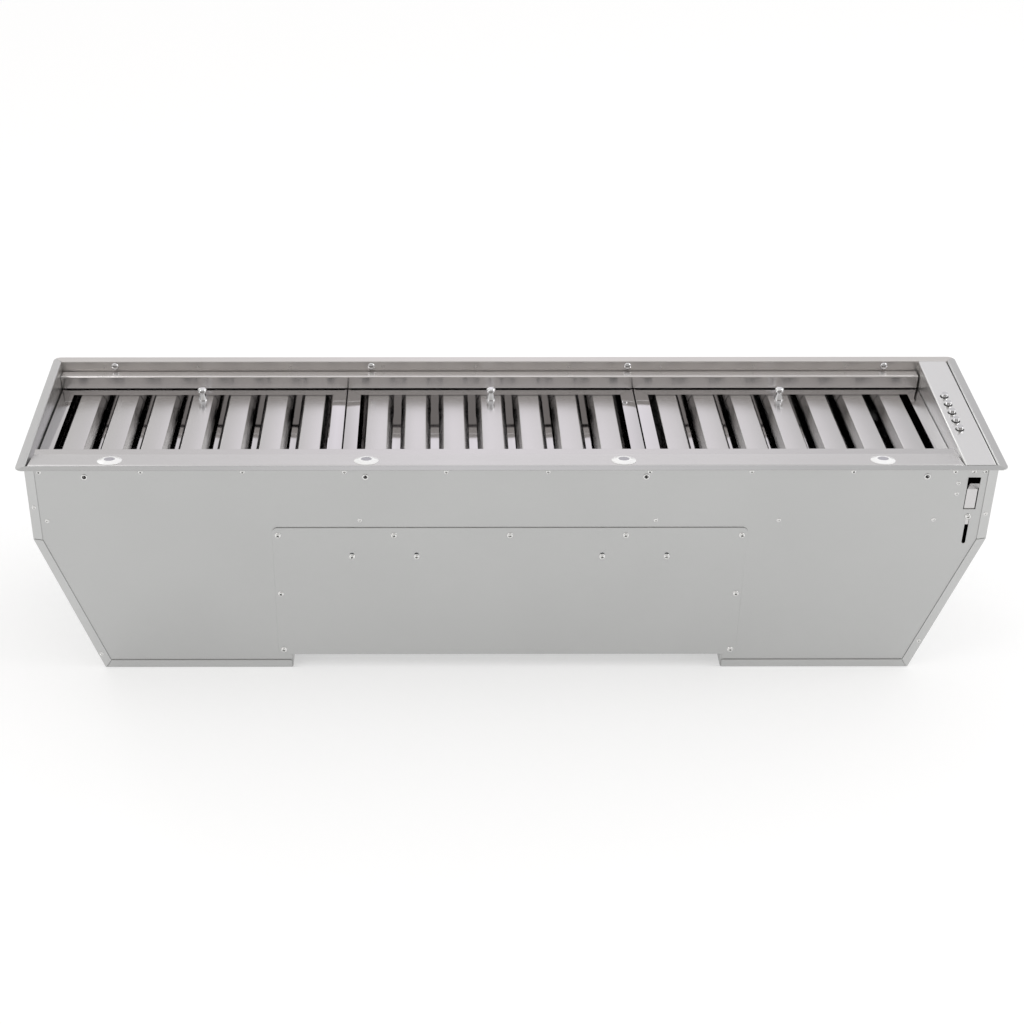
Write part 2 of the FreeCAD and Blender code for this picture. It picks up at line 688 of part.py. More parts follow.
def filter_frame(x):
    """Channel-section frame, open inwards, with a rounded front lower edge to swing on."""
    half = FILTER_WIDTH / 2
    inner = half - FILTER_RAIL
    outer = box((-half, half), (0, FILTER_DEPTH), (0, FILTER_HEIGHT))
    nose = [edge for edge in outer.Edges if abs(edge.CenterOfMass.y) + abs(edge.CenterOfMass.z) < 1e-6]
    outer = outer.makeFillet(FILTER_NOSE_R, nose)
    opening = box((-inner, inner), (FILTER_RAIL, FILTER_DEPTH - FILTER_RAIL), (-CUT, FILTER_HEIGHT + CUT))
    hollow_y = (FILTER_SHEET, FILTER_DEPTH - FILTER_SHEET)
    hollow_z = (FILTER_SHEET, FILTER_HEIGHT - FILTER_SHEET)
    hollow = box((FILTER_SHEET - half, half - FILTER_SHEET), hollow_y, hollow_z)
    return on_filter(outer.cut([opening, hollow]), x)


def strip_along_depth(line, side, start):
    """Thin strip that runs along a filter's depth, from start to as far from the rear edge."""
    face = sheet_face(line, BAFFLE_SHEET, BAFFLE_BEND, side)
    return along_y(face, (start, FILTER_DEPTH - start))


def filter_baffles(x):
    """Upper row: flat-topped channels with their legs spreading down."""
    flat = BAFFLE_FLAT / 2
    foot = flat + BAFFLE_SPREAD
    low = BAFFLE_TOP - BAFFLE_DROP
    line = [(-foot, low), (-flat, BAFFLE_TOP), (flat, BAFFLE_TOP), (foot, low)]
    start = FILTER_SHEET + BAFFLE_END_GAP
    baffles = []
    for number in range(BAFFLE_COUNT):
        offset = (number - (BAFFLE_COUNT - 1) / 2) * BAFFLE_PITCH
        baffles.append(strip_along_depth([(a + offset, z) for a, z in line], -1, start))
    middle = BAFFLE_COUNT // 2
    ends = [V(0, KNOB_Y, z) for z in (BAFFLE_TOP - BAFFLE_SHEET - CUT, BAFFLE_TOP + CUT)]
    hole = rod(KNOB_STUD_R + HOLE_GAP, *ends)
    baffles[middle] = baffles[middle].cut(hole)
    return Part.makeCompound([on_filter(baffle, x) for baffle in baffles])


def channel_between(line, left, right):
    """Channel with its ends turned up between two outlines, from the floor up to under the frame."""
    tab = flat_outline([(a, z) for a, z in left] + [(a, z) for a, z in right[::-1]])
    channel = strip_along_depth(line, 1, CHANNEL_START)
    rear = FILTER_DEPTH - CHANNEL_START
    for ys in ((CHANNEL_START, CHANNEL_START + BAFFLE_SHEET), (rear - BAFFLE_SHEET, rear)):
        channel = channel.fuse(along_y(tab, ys))
    return channel.removeSplitter()


def filter_channels(x):
    """Lower row: channels with their legs up, under the gaps of the upper row."""
    flat = BAFFLE_FLAT / 2
    foot = flat + CHANNEL_SPREAD
    high = CHANNEL_FLOOR + CHANNEL_RISE
    whole = [(-foot, high), (-flat, CHANNEL_FLOOR), (flat, CHANNEL_FLOOR), (foot, high)]
    narrow = (BAFFLE_PITCH - BAFFLE_FLAT) / 2 - BAFFLE_SPREAD - TAB_GAP
    wide = (BAFFLE_PITCH - BAFFLE_FLAT) / 2 - 2 * TAB_GAP
    side = [(narrow, CHANNEL_FLOOR), (narrow, BAFFLE_TOP - BAFFLE_DROP), (wide, BAFFLE_TOP - TAB_GAP)]
    channels = []
    for number in range(BAFFLE_COUNT - 1):
        offset = (number - (BAFFLE_COUNT - 2) / 2) * BAFFLE_PITCH
        line = [(a + offset, z) for a, z in whole]
        left = [(offset - a, z) for a, z in side]
        right = [(offset + a, z) for a, z in side]
        channels.append(channel_between(line, left, right))
    last = BAFFLE_COUNT / 2 * BAFFLE_PITCH
    edge = FILTER_WIDTH / 2 - FILTER_SHEET - CHANNEL_SIDE_GAP
    end_line = [(last - foot, high), (last - flat, CHANNEL_FLOOR), (edge, CHANNEL_FLOOR)]
    left = [(last - a, z) for a, z in side]
    right = [(edge, CHANNEL_FLOOR), (edge, BAFFLE_TOP - TAB_GAP)]
    end = channel_between(end_line, left, right)
    channels += on_both_sides(end, V(1, 0, 0))
    return Part.makeCompound([on_filter(channel, x) for channel in channels])


def filter_knob(x):
    """Turned knob: flared base, narrow neck and mushroom head, with its stud through the baffle."""
    base = BAFFLE_TOP
    top = base + KNOB_HEIGHT
    profile = [
        (0, base - KNOB_STUD_LENGTH),
        (KNOB_STUD_R, base - KNOB_STUD_LENGTH),
        (KNOB_STUD_R, base),
        (KNOB_BASE_R, base),
        (KNOB_BASE_R, base + 0.8),
        (KNOB_NECK_R, base + 9.6),
        (KNOB_HEAD_R, base + 11.0),
        (KNOB_HEAD_R, top),
        (0, top),
    ]
    radii = [0, 0, 0, 0, 0.3, 1.5, 0.8, 3.2, 0]
    return on_filter(placed(turned(profile, radii), V(0, KNOB_Y, 0)), x)


def cover_screws():
    """Nine screws around the access cover, and four in its keyholes that hold the blower plate's ears."""
    face_y = -WALL_Y - SHEET
    places = COVER_SCREWS + HANGER_SCREWS
    return Part.makeCompound([screw(PAN_SCREW, x, face_y, z, FACING_NEAR) for x, z in places])


def flange_screws():
    """Rows of screws under the rim, on the near and the far wall."""
    screws = [screw(RIM_SCREW, x, -WALL_Y, RIM_SCREW_Z, FACING_NEAR) for x in NEAR_RIM_SCREWS]
    screws += [screw(FAR_RIM_SCREW, x, WALL_Y, RIM_SCREW_Z, FACING_FAR) for x in FAR_RIM_SCREWS]
    return Part.makeCompound(screws)


def seam_screws():
    """Small flush screws in the walls, in the hems and beside the clamp."""
    screws = [screw(FLUSH_SCREW, x, -WALL_Y, z, FACING_NEAR) for x, z in WALL_SCREWS + BOX_SCREWS]
    screws += [screw(FLUSH_SCREW, x, WALL_Y, z, FACING_FAR) for x, z in WALL_SCREWS]
    screws += [screw(FLUSH_SCREW, x, -WALL_Y - SHEET, z, FACING_NEAR) for x, z in HEM_SCREWS]
    screws += [screw(FLUSH_SCREW, x, WALL_Y + SHEET, z, FACING_FAR) for x, z in HEM_SCREWS]
    return Part.makeCompound(screws)


def mounting_nuts():
    """Threaded sockets in the near wall for the screws into the cabinet."""
    profile = [
        (SOCKET_BORE_R, SOCKET_RIM),
        (SOCKET_RIM_R, SOCKET_RIM),
        (SOCKET_RIM_R, 0),
        (SOCKET_BODY_R, 0),
        (SOCKET_BODY_R, -SOCKET_LENGTH),
        (SOCKET_BORE_R, -SOCKET_LENGTH),
    ]
    nut = turned(profile, [0, 0.4, 0, 0, 0, 0])
    return Part.makeCompound([placed(nut, V(x, -WALL_Y, SOCKET_Z), FACING_NEAR) for x in SOCKET_X])


def dome_screws():
    """Dome-headed screws through the far wall above the ledge."""
    return Part.makeCompound([screw(DOME_SCREW, x, INNER_Y, DOME_Z, FACING_NEAR) for x in SOCKET_X])


def clamp_bracket():
    """Strip behind the wall, bent out through the window to bear on the cabinet."""
    tip_y, tip_z = CLAMP_TIP
    line = [(CLAMP_BACK_Y, CLAMP_FOOT_Z), (CLAMP_BACK_Y, CLAMP_BEND_Z), (tip_y, tip_z)]
    half = CLAMP_WIDTH / 2
    strip = along_x(sheet_face(line, CLAMP_SHEET, BEND, -1), (CLAMP_X - half, CLAMP_X + half))
    ends = [V(CLAMP_X, y, CLAMP_SCREW_Z) for y in (-WALL_Y, HOLE_REACH - WALL_Y)]
    hole = rod(PAN_SCREW.shank_r + HOLE_GAP, *ends)
    return strip.cut(hole)


def clamp_screw():
    """Screw that slides in the slot and holds the clamp, just clear of the wall."""
    return screw(PAN_SCREW, CLAMP_X, -WALL_Y - CLAMP_GAP, CLAMP_SCREW_Z, FACING_NEAR)


def volute(margin):
    """Section of the scroll in Y and Z about the blower's axis, grown by a margin, down to the plate."""
    start_r = SCROLL_START_R + margin
    tongue_y = TONGUE_Y - margin
    start = -math.acos(tongue_y / start_r)
    sweep = 2 * math.pi + start

    def point(share):
        angle = start - sweep * share
        radius = start_r + (SCROLL_END_R - SCROLL_START_R) * share
        return V(radius * math.cos(angle), radius * math.sin(angle), 0)

    edges = []
    for number in range(SCROLL_ARCS):
        shares = [(number + part) / SCROLL_ARCS for part in (0, 0.5, 1)]
        edges.append(Part.Arc(*[point(share) for share in shares]).toShape())
    floor = PLATE_Z + SHEET - BLOWER_Z
    outer = V(SCROLL_END_R + margin, floor, 0)
    inner = V(tongue_y, floor, 0)
    edges.append(Part.makeLine(point(1), outer))
    edges.append(Part.makeLine(outer, inner))
    edges.append(Part.makeLine(inner, point(0)))
    face = Part.Face(Part.Wire(Part.__sortEdges__(edges)))
    return placed(face, V(BLOWER_Y, BLOWER_Z, 0))


def on_axis(*xs):
    """Points on the blower's axis."""
    return [V(x, BLOWER_Y, BLOWER_Z) for x in xs]


def scroll_housing_right():
    """Hollow scroll: spiral wrap and two side walls, open down to the duct and at its outer side."""
    inner_x, outer_x = SCROLL_X
    shell = along_x(volute(SHEET), (inner_x, outer_x))
    room = along_x(volute(0), (inner_x + SHEET, outer_x - SHEET))
    shaft_hole = rod(SHAFT_HOLE_R, *on_axis(inner_x - CUT, inner_x + SHEET + CUT))
    inlet = rod(INLET_R, *on_axis(outer_x - SHEET - CUT, outer_x + CUT))
    return shell.cut([room, shaft_hole, inlet])


def impeller_right():
    """Squirrel-cage wheel: back plate, hub, leaning blades and an end ring."""
    start, end = IMPELLER_X
    inner_r = IMPELLER_R - BLADE_LENGTH
    back = rod(IMPELLER_R, *on_axis(start, start + WHEEL_BACK))
    hub = rod(HUB_R, *on_axis(start, start + HUB_LENGTH))
    ring = rod(IMPELLER_R, *on_axis(end - WHEEL_RING, end)).cut(rod(inner_r, *on_axis(start, end + CUT)))
    half = BLADE_SHEET / 2
    blade = box((start + CUT, end - CUT), (-half, half), (-BLADE_LENGTH / 2, BLADE_LENGTH / 2))
    blade = placed(blade, V(0, 0, 0), FreeCAD.Rotation(V(1, 0, 0), BLADE_LEAN))
    blade = placed(blade, V(0, 0, (IMPELLER_R + inner_r) / 2 - BLADE_SHEET / 2))
    blades = []
    for number in range(BLADE_COUNT):
        turn = FreeCAD.Rotation(V(1, 0, 0), 360 * number / BLADE_COUNT)
        blades.append(placed(blade, V(0, BLOWER_Y, BLOWER_Z), turn))
    wheel = back.fuse([hub, ring] + blades)
    return wheel.cut(rod(SHAFT_R, *on_axis(start - CUT, start + HUB_LENGTH + CUT)))


def blower_shaft():
    """Shaft through the motor and both wheels."""
    return rod(SHAFT_R, *on_axis(-SHAFT_END_X, SHAFT_END_X))


def blower_motor():
    """Motor body with a boss at each end, bored for the shaft with running clearance."""
    profile = [
        (SHAFT_R + SHAFT_GAP, -MOTOR_BOSS_END),
        (MOTOR_BOSS_R, -MOTOR_BOSS_END),
        (MOTOR_BOSS_R, -MOTOR_HALF),
        (MOTOR_R, -MOTOR_HALF),
        (MOTOR_R, MOTOR_HALF),
        (MOTOR_BOSS_R, MOTOR_HALF),
        (MOTOR_BOSS_R, MOTOR_BOSS_END),
        (SHAFT_R + SHAFT_GAP, MOTOR_BOSS_END),
    ]
    body = turned(profile, [0, 2, 0, 5, 5, 0, 2, 0])
    return placed(body, V(0, BLOWER_Y, BLOWER_Z), FreeCAD.Rotation(V(0, 1, 0), 90))


def motor_bracket():
    """Cradle: a base on the blower plate and two uprights around the motor's bosses."""
    floor = PLATE_Z + SHEET
    ys = (BLOWER_Y - CRADLE_Y, BLOWER_Y + CRADLE_Y)
    base = box((-CRADLE_X[1], CRADLE_X[1]), ys, (floor, floor + CRADLE_X[1] - CRADLE_X[0]))
    upright = box(CRADLE_X, ys, (floor, CRADLE_TOP_Z))
    uprights = on_both_sides(upright, V(1, 0, 0))
    hole = rod(MOTOR_BOSS_R, *on_axis(-MOTOR_BOSS_END, MOTOR_BOSS_END))
    return base.fuse(uprights).removeSplitter().cut(hole)


def blower_plate():
    """Plate under the scrolls with two outlets, and two ears behind the cover's keyholes."""
    zs = (PLATE_Z, PLATE_Z + SHEET)
    plate = box((-PLATE_X, PLATE_X), (-WALL_Y, PLATE_FAR_Y), zs)
    ear = box((PLATE_EAR_X, PLATE_X), (-WALL_Y, -INNER_Y), (PLATE_Z, PLATE_EAR_TOP_Z))
    ears = on_both_sides(ear, V(1, 0, 0))
    outlet_x = (SCROLL_X[0] + SHEET, SCROLL_X[1] - SHEET)
    outlet_y = (BLOWER_Y + TONGUE_Y, BLOWER_Y + SCROLL_END_R)
    outlet = box(outlet_x, outlet_y, (PLATE_Z - CUT, PLATE_Z + SHEET + CUT))
    cutters = on_both_sides(outlet, V(1, 0, 0)) + wall_holes(PAN_SCREW, HANGER_SCREWS, -1)
    return plate.fuse(ears).removeSplitter().cut(cutters)


def duct_collar():
    """Rectangular collar through the deck, with a flange on the deck and one under the blower plate."""
    collar = duct_opening(0, (DUCT_BOTTOM_Z, PLATE_Z))
    deck_top = DECK_Z + SHEET
    flanges = [duct_opening(DUCT_FLANGE, (deck_top, deck_top + SHEET))]
    flanges.append(duct_opening(DUCT_FLANGE, (PLATE_Z - SHEET, PLATE_Z)))
    bore = duct_opening(-DUCT_SHEET, (DUCT_BOTTOM_Z - CUT, PLATE_Z + CUT))
    rod_holes = [rod(ROD_R + HOLE_GAP, *hinge_ends(y, DUCT_HALF_X + CUT)) for y in hinge_lines()]
    return collar.fuse(flanges).cut([bore] + rod_holes)


def hinge_lines():
    """Y of the two flap rods, near and far."""
    return (DUCT_Y - FLAP_HINGE_Y, DUCT_Y + FLAP_HINGE_Y)


def hinge_ends(y, half_length):
    """End points of a stretch of a flap's hinge line."""
    return [V(x, y, FLAP_Z) for x in (-half_length, half_length)]


def damper_rods():
    """Two rods across the collar that the flaps turn on."""
    return Part.makeCompound([rod(ROD_R, *hinge_ends(y, DUCT_HALF_X)) for y in hinge_lines()])


def damper_flap(side):
    """Flap from its knuckle on the rod out to the collar's wall; side is -1 near and 1 far."""
    hinge_y = DUCT_Y + side * FLAP_HINGE_Y
    edge_y = DUCT_Y + side * (DUCT_HALF_Y - DUCT_SHEET - FLAP_WALL_GAP)
    half = FLAP_SHEET / 2
    plate = box((-FLAP_X, FLAP_X), sorted((hinge_y, edge_y)), (FLAP_Z - half, FLAP_Z + half))
    bore_r, knuckle_r = KNUCKLE_R
    ends = hinge_ends(hinge_y, FLAP_X)
    return plate.fuse(rod(knuckle_r, *ends)).cut(rod(bore_r, *ends))


def junction_box():
    """Box for the mains joints, open to the deck that closes it."""
    bottom = DECK_Z + SHEET
    body = box(BOX_X, BOX_Y, (bottom, BOX_TOP_Z))
    room_x = (BOX_X[0] + SHEET, BOX_X[1] - SHEET)
    room_y = (BOX_Y[0] + SHEET, BOX_Y[1] - SHEET)
    return body.cut(box(room_x, room_y, (bottom - CUT, BOX_TOP_Z - SHEET)))


def cable_gland():
    """Gland through the deck: nose and collar below, locknut inside the box, open bore."""
    deck_top = DECK_Z + SHEET
    low, shoulder = GLAND_NOSE_Z
    profile = [
        (GLAND_BORE_R, low),
        (GLAND_THREAD_R, low),
        (GLAND_NOSE_R, low + GLAND_TAPER),
        (GLAND_NOSE_R, shoulder),
        (GLAND_COLLAR_R, shoulder),
        (GLAND_COLLAR_R, DECK_Z),
        (GLAND_THREAD_R, DECK_Z),
        (GLAND_THREAD_R, deck_top),
        (GLAND_NUT_R, deck_top),
        (GLAND_NUT_R, deck_top + GLAND_NUT),
        (GLAND_BORE_R, deck_top + GLAND_NUT),
    ]
    radii = [0, 1, 1, 0, 0.5, 0, 0, 0, 0, 0.5, 0]
    return placed(turned(profile, radii), V(*GLAND, 0))


def led_driver():
    """Sealed lamp driver with a foot at each end, on the floor of the right foot."""
    body_x = (DRIVER_X[0] + DRIVER_FOOT, DRIVER_X[1] - DRIVER_FOOT)
    body = box(body_x, DRIVER_Y, (SHEET, SHEET + DRIVER_HEIGHT))
    body = body.makeFillet(2.0, [edge for edge in body.Edges if edge.CenterOfMass.z > SHEET + CUT])
    feet = box(DRIVER_X, DRIVER_Y, (SHEET, SHEET + DRIVER_FOOT_SHEET))
    return body.fuse(feet).removeSplitter()


def build_nodes():
    """Every node of the insert by name."""
    scroll = scroll_housing_right()
    wheel = impeller_right()
    flip_x = V(1, 0, 0)
    nodes = {
        "near_panel": near_panel(),
        "far_panel": far_panel(),
        "left_end_panel": left_end_panel(),
        "right_end_panel": right_end_panel(),
        "bottom_deck": bottom_deck(),
        "foot_pans": foot_pans(),
        "access_cover": access_cover(),
        "light_strip": light_strip(),
        "rear_ledge": rear_ledge(),
        "front_rest_rail": front_rest_rail(),
        "rear_rest_rail": rear_rest_rail(),
        "control_panel": control_panel(),
        "switch_block": switch_block(),
        "cover_screws": cover_screws(),
        "flange_screws": flange_screws(),
        "seam_screws": seam_screws(),
        "mounting_nuts": mounting_nuts(),
        "dome_screws": dome_screws(),
        "clamp_bracket": clamp_bracket(),
        "clamp_screw": clamp_screw(),
        "scroll_housing_right": scroll,
        "scroll_housing_left": mirrored(scroll, flip_x),
        "impeller_right": wheel,
        "impeller_left": mirrored(wheel, flip_x),
        "blower_shaft": blower_shaft(),
        "blower_motor": blower_motor(),
        "motor_bracket": motor_bracket(),
        "blower_plate": blower_plate(),
        "duct_collar": duct_collar(),
        "damper_rods": damper_rods(),
        "damper_flap_near": damper_flap(-1),
        "damper_flap_far": damper_flap(1),
        "junction_box": junction_box(),
        "cable_gland": cable_gland(),
        "led_driver": led_driver(),
    }
    for number, y in enumerate(BUTTON_Y, start=1):
        nodes[f"button_{number}"] = button(y)
    for number, x in enumerate(LAMP_X, start=1):
        nodes[f"lamp_housing_{number}"] = lamp_housing(x)
        nodes[f"lamp_lens_{number}"] = lamp_lens(x)
    for name, x in zip(FILTER_NAMES, FILTER_X):
        nodes[f"filter_frame_{name}"] = filter_frame(x)
        nodes[f"filter_baffles_{name}"] = filter_baffles(x)
        nodes[f"filter_channels_{name}"] = filter_channels(x)
        nodes[f"filter_knob_{name}"] = filter_knob(x)
    return nodes


def main():
    """Write one file for each node."""
    os.makedirs("parts", exist_ok=True)
    for name, shape in build_nodes().items():
        print(f"{name}: {len(shape.Solids)} solids, valid {shape.isValid()}, {shape.Volume / 1000:.1f} cm3")
        shape.exportStep(f"parts/{name}.step")


main()
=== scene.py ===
"""Looks of a slim range hood insert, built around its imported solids.

Everything is in metres and in the solids' own frame: X runs along the insert, Y from the near wall to the far
wall, and Z up out of the intake face. The insert stands on its two feet, upside down to how it is installed.
"""

import json
import logging
import math
import random
from dataclasses import dataclass, replace
from enum import Enum

import bmesh
import bpy
from mathutils import Euler, Matrix, Vector


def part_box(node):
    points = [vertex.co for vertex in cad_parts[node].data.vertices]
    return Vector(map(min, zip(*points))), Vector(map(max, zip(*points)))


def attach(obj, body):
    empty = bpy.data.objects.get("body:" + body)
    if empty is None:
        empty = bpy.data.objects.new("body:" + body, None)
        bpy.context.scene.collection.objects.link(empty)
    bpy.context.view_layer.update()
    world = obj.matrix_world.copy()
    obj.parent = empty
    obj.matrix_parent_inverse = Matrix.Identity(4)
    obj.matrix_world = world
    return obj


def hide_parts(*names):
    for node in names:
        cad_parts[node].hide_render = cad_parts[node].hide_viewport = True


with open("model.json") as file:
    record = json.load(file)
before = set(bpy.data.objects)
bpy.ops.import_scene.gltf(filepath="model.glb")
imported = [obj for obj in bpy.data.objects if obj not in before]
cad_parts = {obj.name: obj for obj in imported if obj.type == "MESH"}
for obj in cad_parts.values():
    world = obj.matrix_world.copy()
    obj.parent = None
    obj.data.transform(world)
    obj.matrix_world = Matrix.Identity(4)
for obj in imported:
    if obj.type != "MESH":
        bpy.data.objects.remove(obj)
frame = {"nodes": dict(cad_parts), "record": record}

MM = 0.001
SHARP_ANGLE = math.radians(35.0)
SOFTENED_ANGLE = math.radians(50.0)
NARROWEST_FLAT = 0.9 * MM
FLAT_ANGLE = math.radians(0.5)
WELD_GAP = 0.002 * MM
ON_AXIS = 0.0001 * MM
STRAIGHT = 1e-4
NOISE_LOW = 0.3
NOISE_HIGH = 0.7
Point2 = tuple[float, float]
Colour = tuple[float, float, float]
log = logging.getLogger("range_hood_insert")


class Slot(Enum):
    """Material slots of the record."""

    SATIN_SHEET = "satin_sheet"
    BRIGHT_SHEET = "bright_sheet"
    POLISHED_CHANNEL = "polished_channel"
    CHROME = "chrome"
    SCREW_STEEL = "screw_steel"
    GALVANISED = "galvanised"
    WHEEL_STEEL = "wheel_steel"
    ALUMINIUM = "aluminium"
    MOTOR_PAINT = "motor_paint"
    BLACK_PLASTIC = "black_plastic"
    WHITE_PLASTIC = "white_plastic"
    LENS = "lens"
    GREY_PLASTIC = "grey_plastic"


class Grain(Enum):
    """Direction in which a sheet was brushed, with the axis that its highlights stretch around."""

    ALONG_WIDTH = "X"
    ALONG_DEPTH = "Y"

    def stretch(self, across: float, along: float) -> tuple[float, float, float]:
        """Noise scale on each axis: fine across the grain and long with it."""
        return tuple(along if axis == self.value else across for axis in "XYZ")


# ----------------------------------------------------------------------------------------------------
# Shader effects that several finishes share


class Effects:
    """The shader node groups that more than one finish uses."""

    def __init__(self) -> None:
        """Builds each group once."""
        self.brushing = self._brushing()
        self.handling = self._handling()
        self.speckle = self._speckle()

    @staticmethod
    def _start(title: str, inputs: dict[str, object], outputs: tuple[str, ...]) -> bpy.types.NodeTree:
        """Makes an empty group.

        Args:
            title: the group's name.
            inputs: default value of each input; a tuple makes a vector input, a number a float input.
            outputs: names of the float outputs.

        Returns:
            The group's node tree, with its input and output nodes.
        """
        tree = bpy.data.node_groups.new(title, "ShaderNodeTree")
        for name, value in inputs.items():
            kind = "NodeSocketVector" if isinstance(value, tuple) else "NodeSocketFloat"
            socket = tree.interface.new_socket(name, in_out="INPUT", socket_type=kind)
            socket.default_value = value
        for name in outputs:
            tree.interface.new_socket(name, in_out="OUTPUT", socket_type="NodeSocketFloat")
        tree.nodes.new("NodeGroupInput")
        tree.nodes.new("NodeGroupOutput")
        return tree

    @staticmethod
    def _noise(tree: bpy.types.NodeTree, detail: float) -> bpy.types.Node:
        """A noise texture at the object's own place, scaled by the group's Scale vector."""
        place = tree.nodes.new("ShaderNodeTexCoord")
        scaled = tree.nodes.new("ShaderNodeVectorMath")
        scaled.operation = "MULTIPLY"
        noise = tree.nodes.new("ShaderNodeTexNoise")
        noise.inputs["Scale"].default_value = 1.0
        noise.inputs["Detail"].default_value = detail
        tree.links.new(place.outputs["Object"], scaled.inputs[0])
        tree.links.new(tree.nodes["Group Input"].outputs["Scale"], scaled.inputs[1])
        tree.links.new(scaled.outputs["Vector"], noise.inputs["Vector"])
        return noise

    @staticmethod
    def _ramp(tree: bpy.types.NodeTree, value: bpy.types.NodeSocket, low: str, high: str) -> bpy.types.Node:
        """Maps a noise value to between two of the group's inputs."""
        ramp = tree.nodes.new("ShaderNodeMapRange")
        ramp.inputs["From Min"].default_value = NOISE_LOW
        ramp.inputs["From Max"].default_value = NOISE_HIGH
        tree.links.new(value, ramp.inputs["Value"])
        tree.links.new(tree.nodes["Group Input"].outputs[low], ramp.inputs["To Min"])
        tree.links.new(tree.nodes["Group Input"].outputs[high], ramp.inputs["To Max"])
        return ramp

    def _brushing(self) -> bpy.types.NodeTree:
        """Fine streaks of a brushed sheet: a mask, a roughness and a height."""
        inputs = {"Scale": (900.0, 900.0, 900.0), "Smooth": 0.2, "Rough": 0.3}
        tree = self._start("Brushed Grain", inputs, ("Streaks", "Roughness", "Height"))
        noise = self._noise(tree, 4.0)
        ramp = self._ramp(tree, noise.outputs["Fac"], "Smooth", "Rough")
        out = tree.nodes["Group Output"]
        tree.links.new(noise.outputs["Fac"], out.inputs["Streaks"])
        tree.links.new(ramp.outputs["Result"], out.inputs["Roughness"])
        tree.links.new(noise.outputs["Fac"], out.inputs["Height"])
        return tree

    def _handling(self) -> bpy.types.NodeTree:
        """Broad cloudy patches left by rolling and handling, as a mask between two values."""
        inputs = {"Scale": (5.0, 5.0, 5.0), "Clean": 0.0, "Marked": 1.0}
        tree = self._start("Handling Marks", inputs, ("Marks",))
        noise = self._noise(tree, 2.5)
        ramp = self._ramp(tree, noise.outputs["Fac"], "Clean", "Marked")
        tree.links.new(ramp.outputs["Result"], tree.nodes["Group Output"].inputs["Marks"])
        return tree

    def _speckle(self) -> bpy.types.NodeTree:
        """Fine grain of moulded plastic, cast metal or paint: a height and a roughness."""
        inputs = {"Scale": (1500.0, 1500.0, 1500.0), "Smooth": 0.4, "Rough": 0.5}
        tree = self._start("Fine Speckle", inputs, ("Height", "Roughness"))
        noise = self._noise(tree, 2.0)
        ramp = self._ramp(tree, noise.outputs["Fac"], "Smooth", "Rough")
        out = tree.nodes["Group Output"]
        tree.links.new(noise.outputs["Fac"], out.inputs["Height"])
        tree.links.new(ramp.outputs["Result"], out.inputs["Roughness"])
        return tree


class MaterialMaker:
    """A new material and the few calls that its nodes need."""

    def __init__(self, title: str) -> None:
        """Starts a material with one Principled shader."""
        self.material = bpy.data.materials.new(title)
        self.material.use_nodes = True
        self.tree = self.material.node_tree
        self.shader = self.tree.nodes["Principled BSDF"]

    def link(self, source: bpy.types.NodeSocket, target: bpy.types.NodeSocket) -> None:
        """Joins two sockets."""
        self.tree.links.new(source, target)

    def effect(self, group: bpy.types.NodeTree, **values: object) -> bpy.types.Node:
        """Places a shared effect with its own values."""
        node = self.tree.nodes.new("ShaderNodeGroup")
        node.node_tree = group
        for name, value in values.items():
            node.inputs[name].default_value = value
        return node

    def bump(self, height: bpy.types.NodeSocket, strength: float, depth: float) -> None:
        """Roughens the surface's normal by a height, in metres."""
        node = self.tree.nodes.new("ShaderNodeBump")
        node.inputs["Strength"].default_value = strength
        node.inputs["Distance"].default_value = depth
        self.link(height, node.inputs["Height"])
        self.link(node.outputs["Normal"], self.shader.inputs["Normal"])

    def tint(self, mask: bpy.types.NodeSocket, colour: Colour, other: Colour) -> None:
        """Colours the surface between two colours by a mask."""
        mix = self.tree.nodes.new("ShaderNodeMix")
        mix.data_type = "RGBA"
        self.link(mask, mix.inputs[0])
        mix.inputs[6].default_value = (*colour, 1.0)
        mix.inputs[7].default_value = (*other, 1.0)
        self.link(mix.outputs[2], self.shader.inputs["Base Color"])

    def stretch_highlights(self, grain: Grain, amount: float) -> None:
        """Stretches the highlights across a sheet's grain."""
        tangent = self.tree.nodes.new("ShaderNodeTangent")
        tangent.direction_type = "RADIAL"
        tangent.axis = grain.value
        self.shader.inputs["Anisotropic"].default_value = amount
        self.link(tangent.outputs["Tangent"], self.shader.inputs["Tangent"])


# ----------------------------------------------------------------------------------------------------
# Finishes


@dataclass(frozen=True)
class SheetFinish:
    """Brushed or polished stainless sheet."""

    title: str
    colour: Colour
    smooth: float
    rough: float
    grain: Grain = Grain.ALONG_WIDTH
    stretch: float = 0.6
    depth: float = 0.000002
    shade: float = 0.96
    relief: float = 0.35
    across: float = 2600.0
    along: float = 30.0

    def build(self, effects: Effects) -> bpy.types.Material:
        """Makes the material.

        Args:
            effects: the shared node groups.

        Returns:
            The finished material.
        """
        maker = MaterialMaker(self.title)
        maker.shader.inputs["Metallic"].default_value = 1.0
        scale = self.grain.stretch(self.across, self.along)
        streaks = maker.effect(effects.brushing, Scale=scale, Smooth=self.smooth, Rough=self.rough)
        marks = maker.effect(effects.handling)
        maker.link(streaks.outputs["Roughness"], maker.shader.inputs["Roughness"])
        maker.tint(marks.outputs["Marks"], self.colour, tuple(c * self.shade for c in self.colour))
        maker.bump(streaks.outputs["Height"], self.relief, self.depth)
        maker.stretch_highlights(self.grain, self.stretch)
        return maker.material


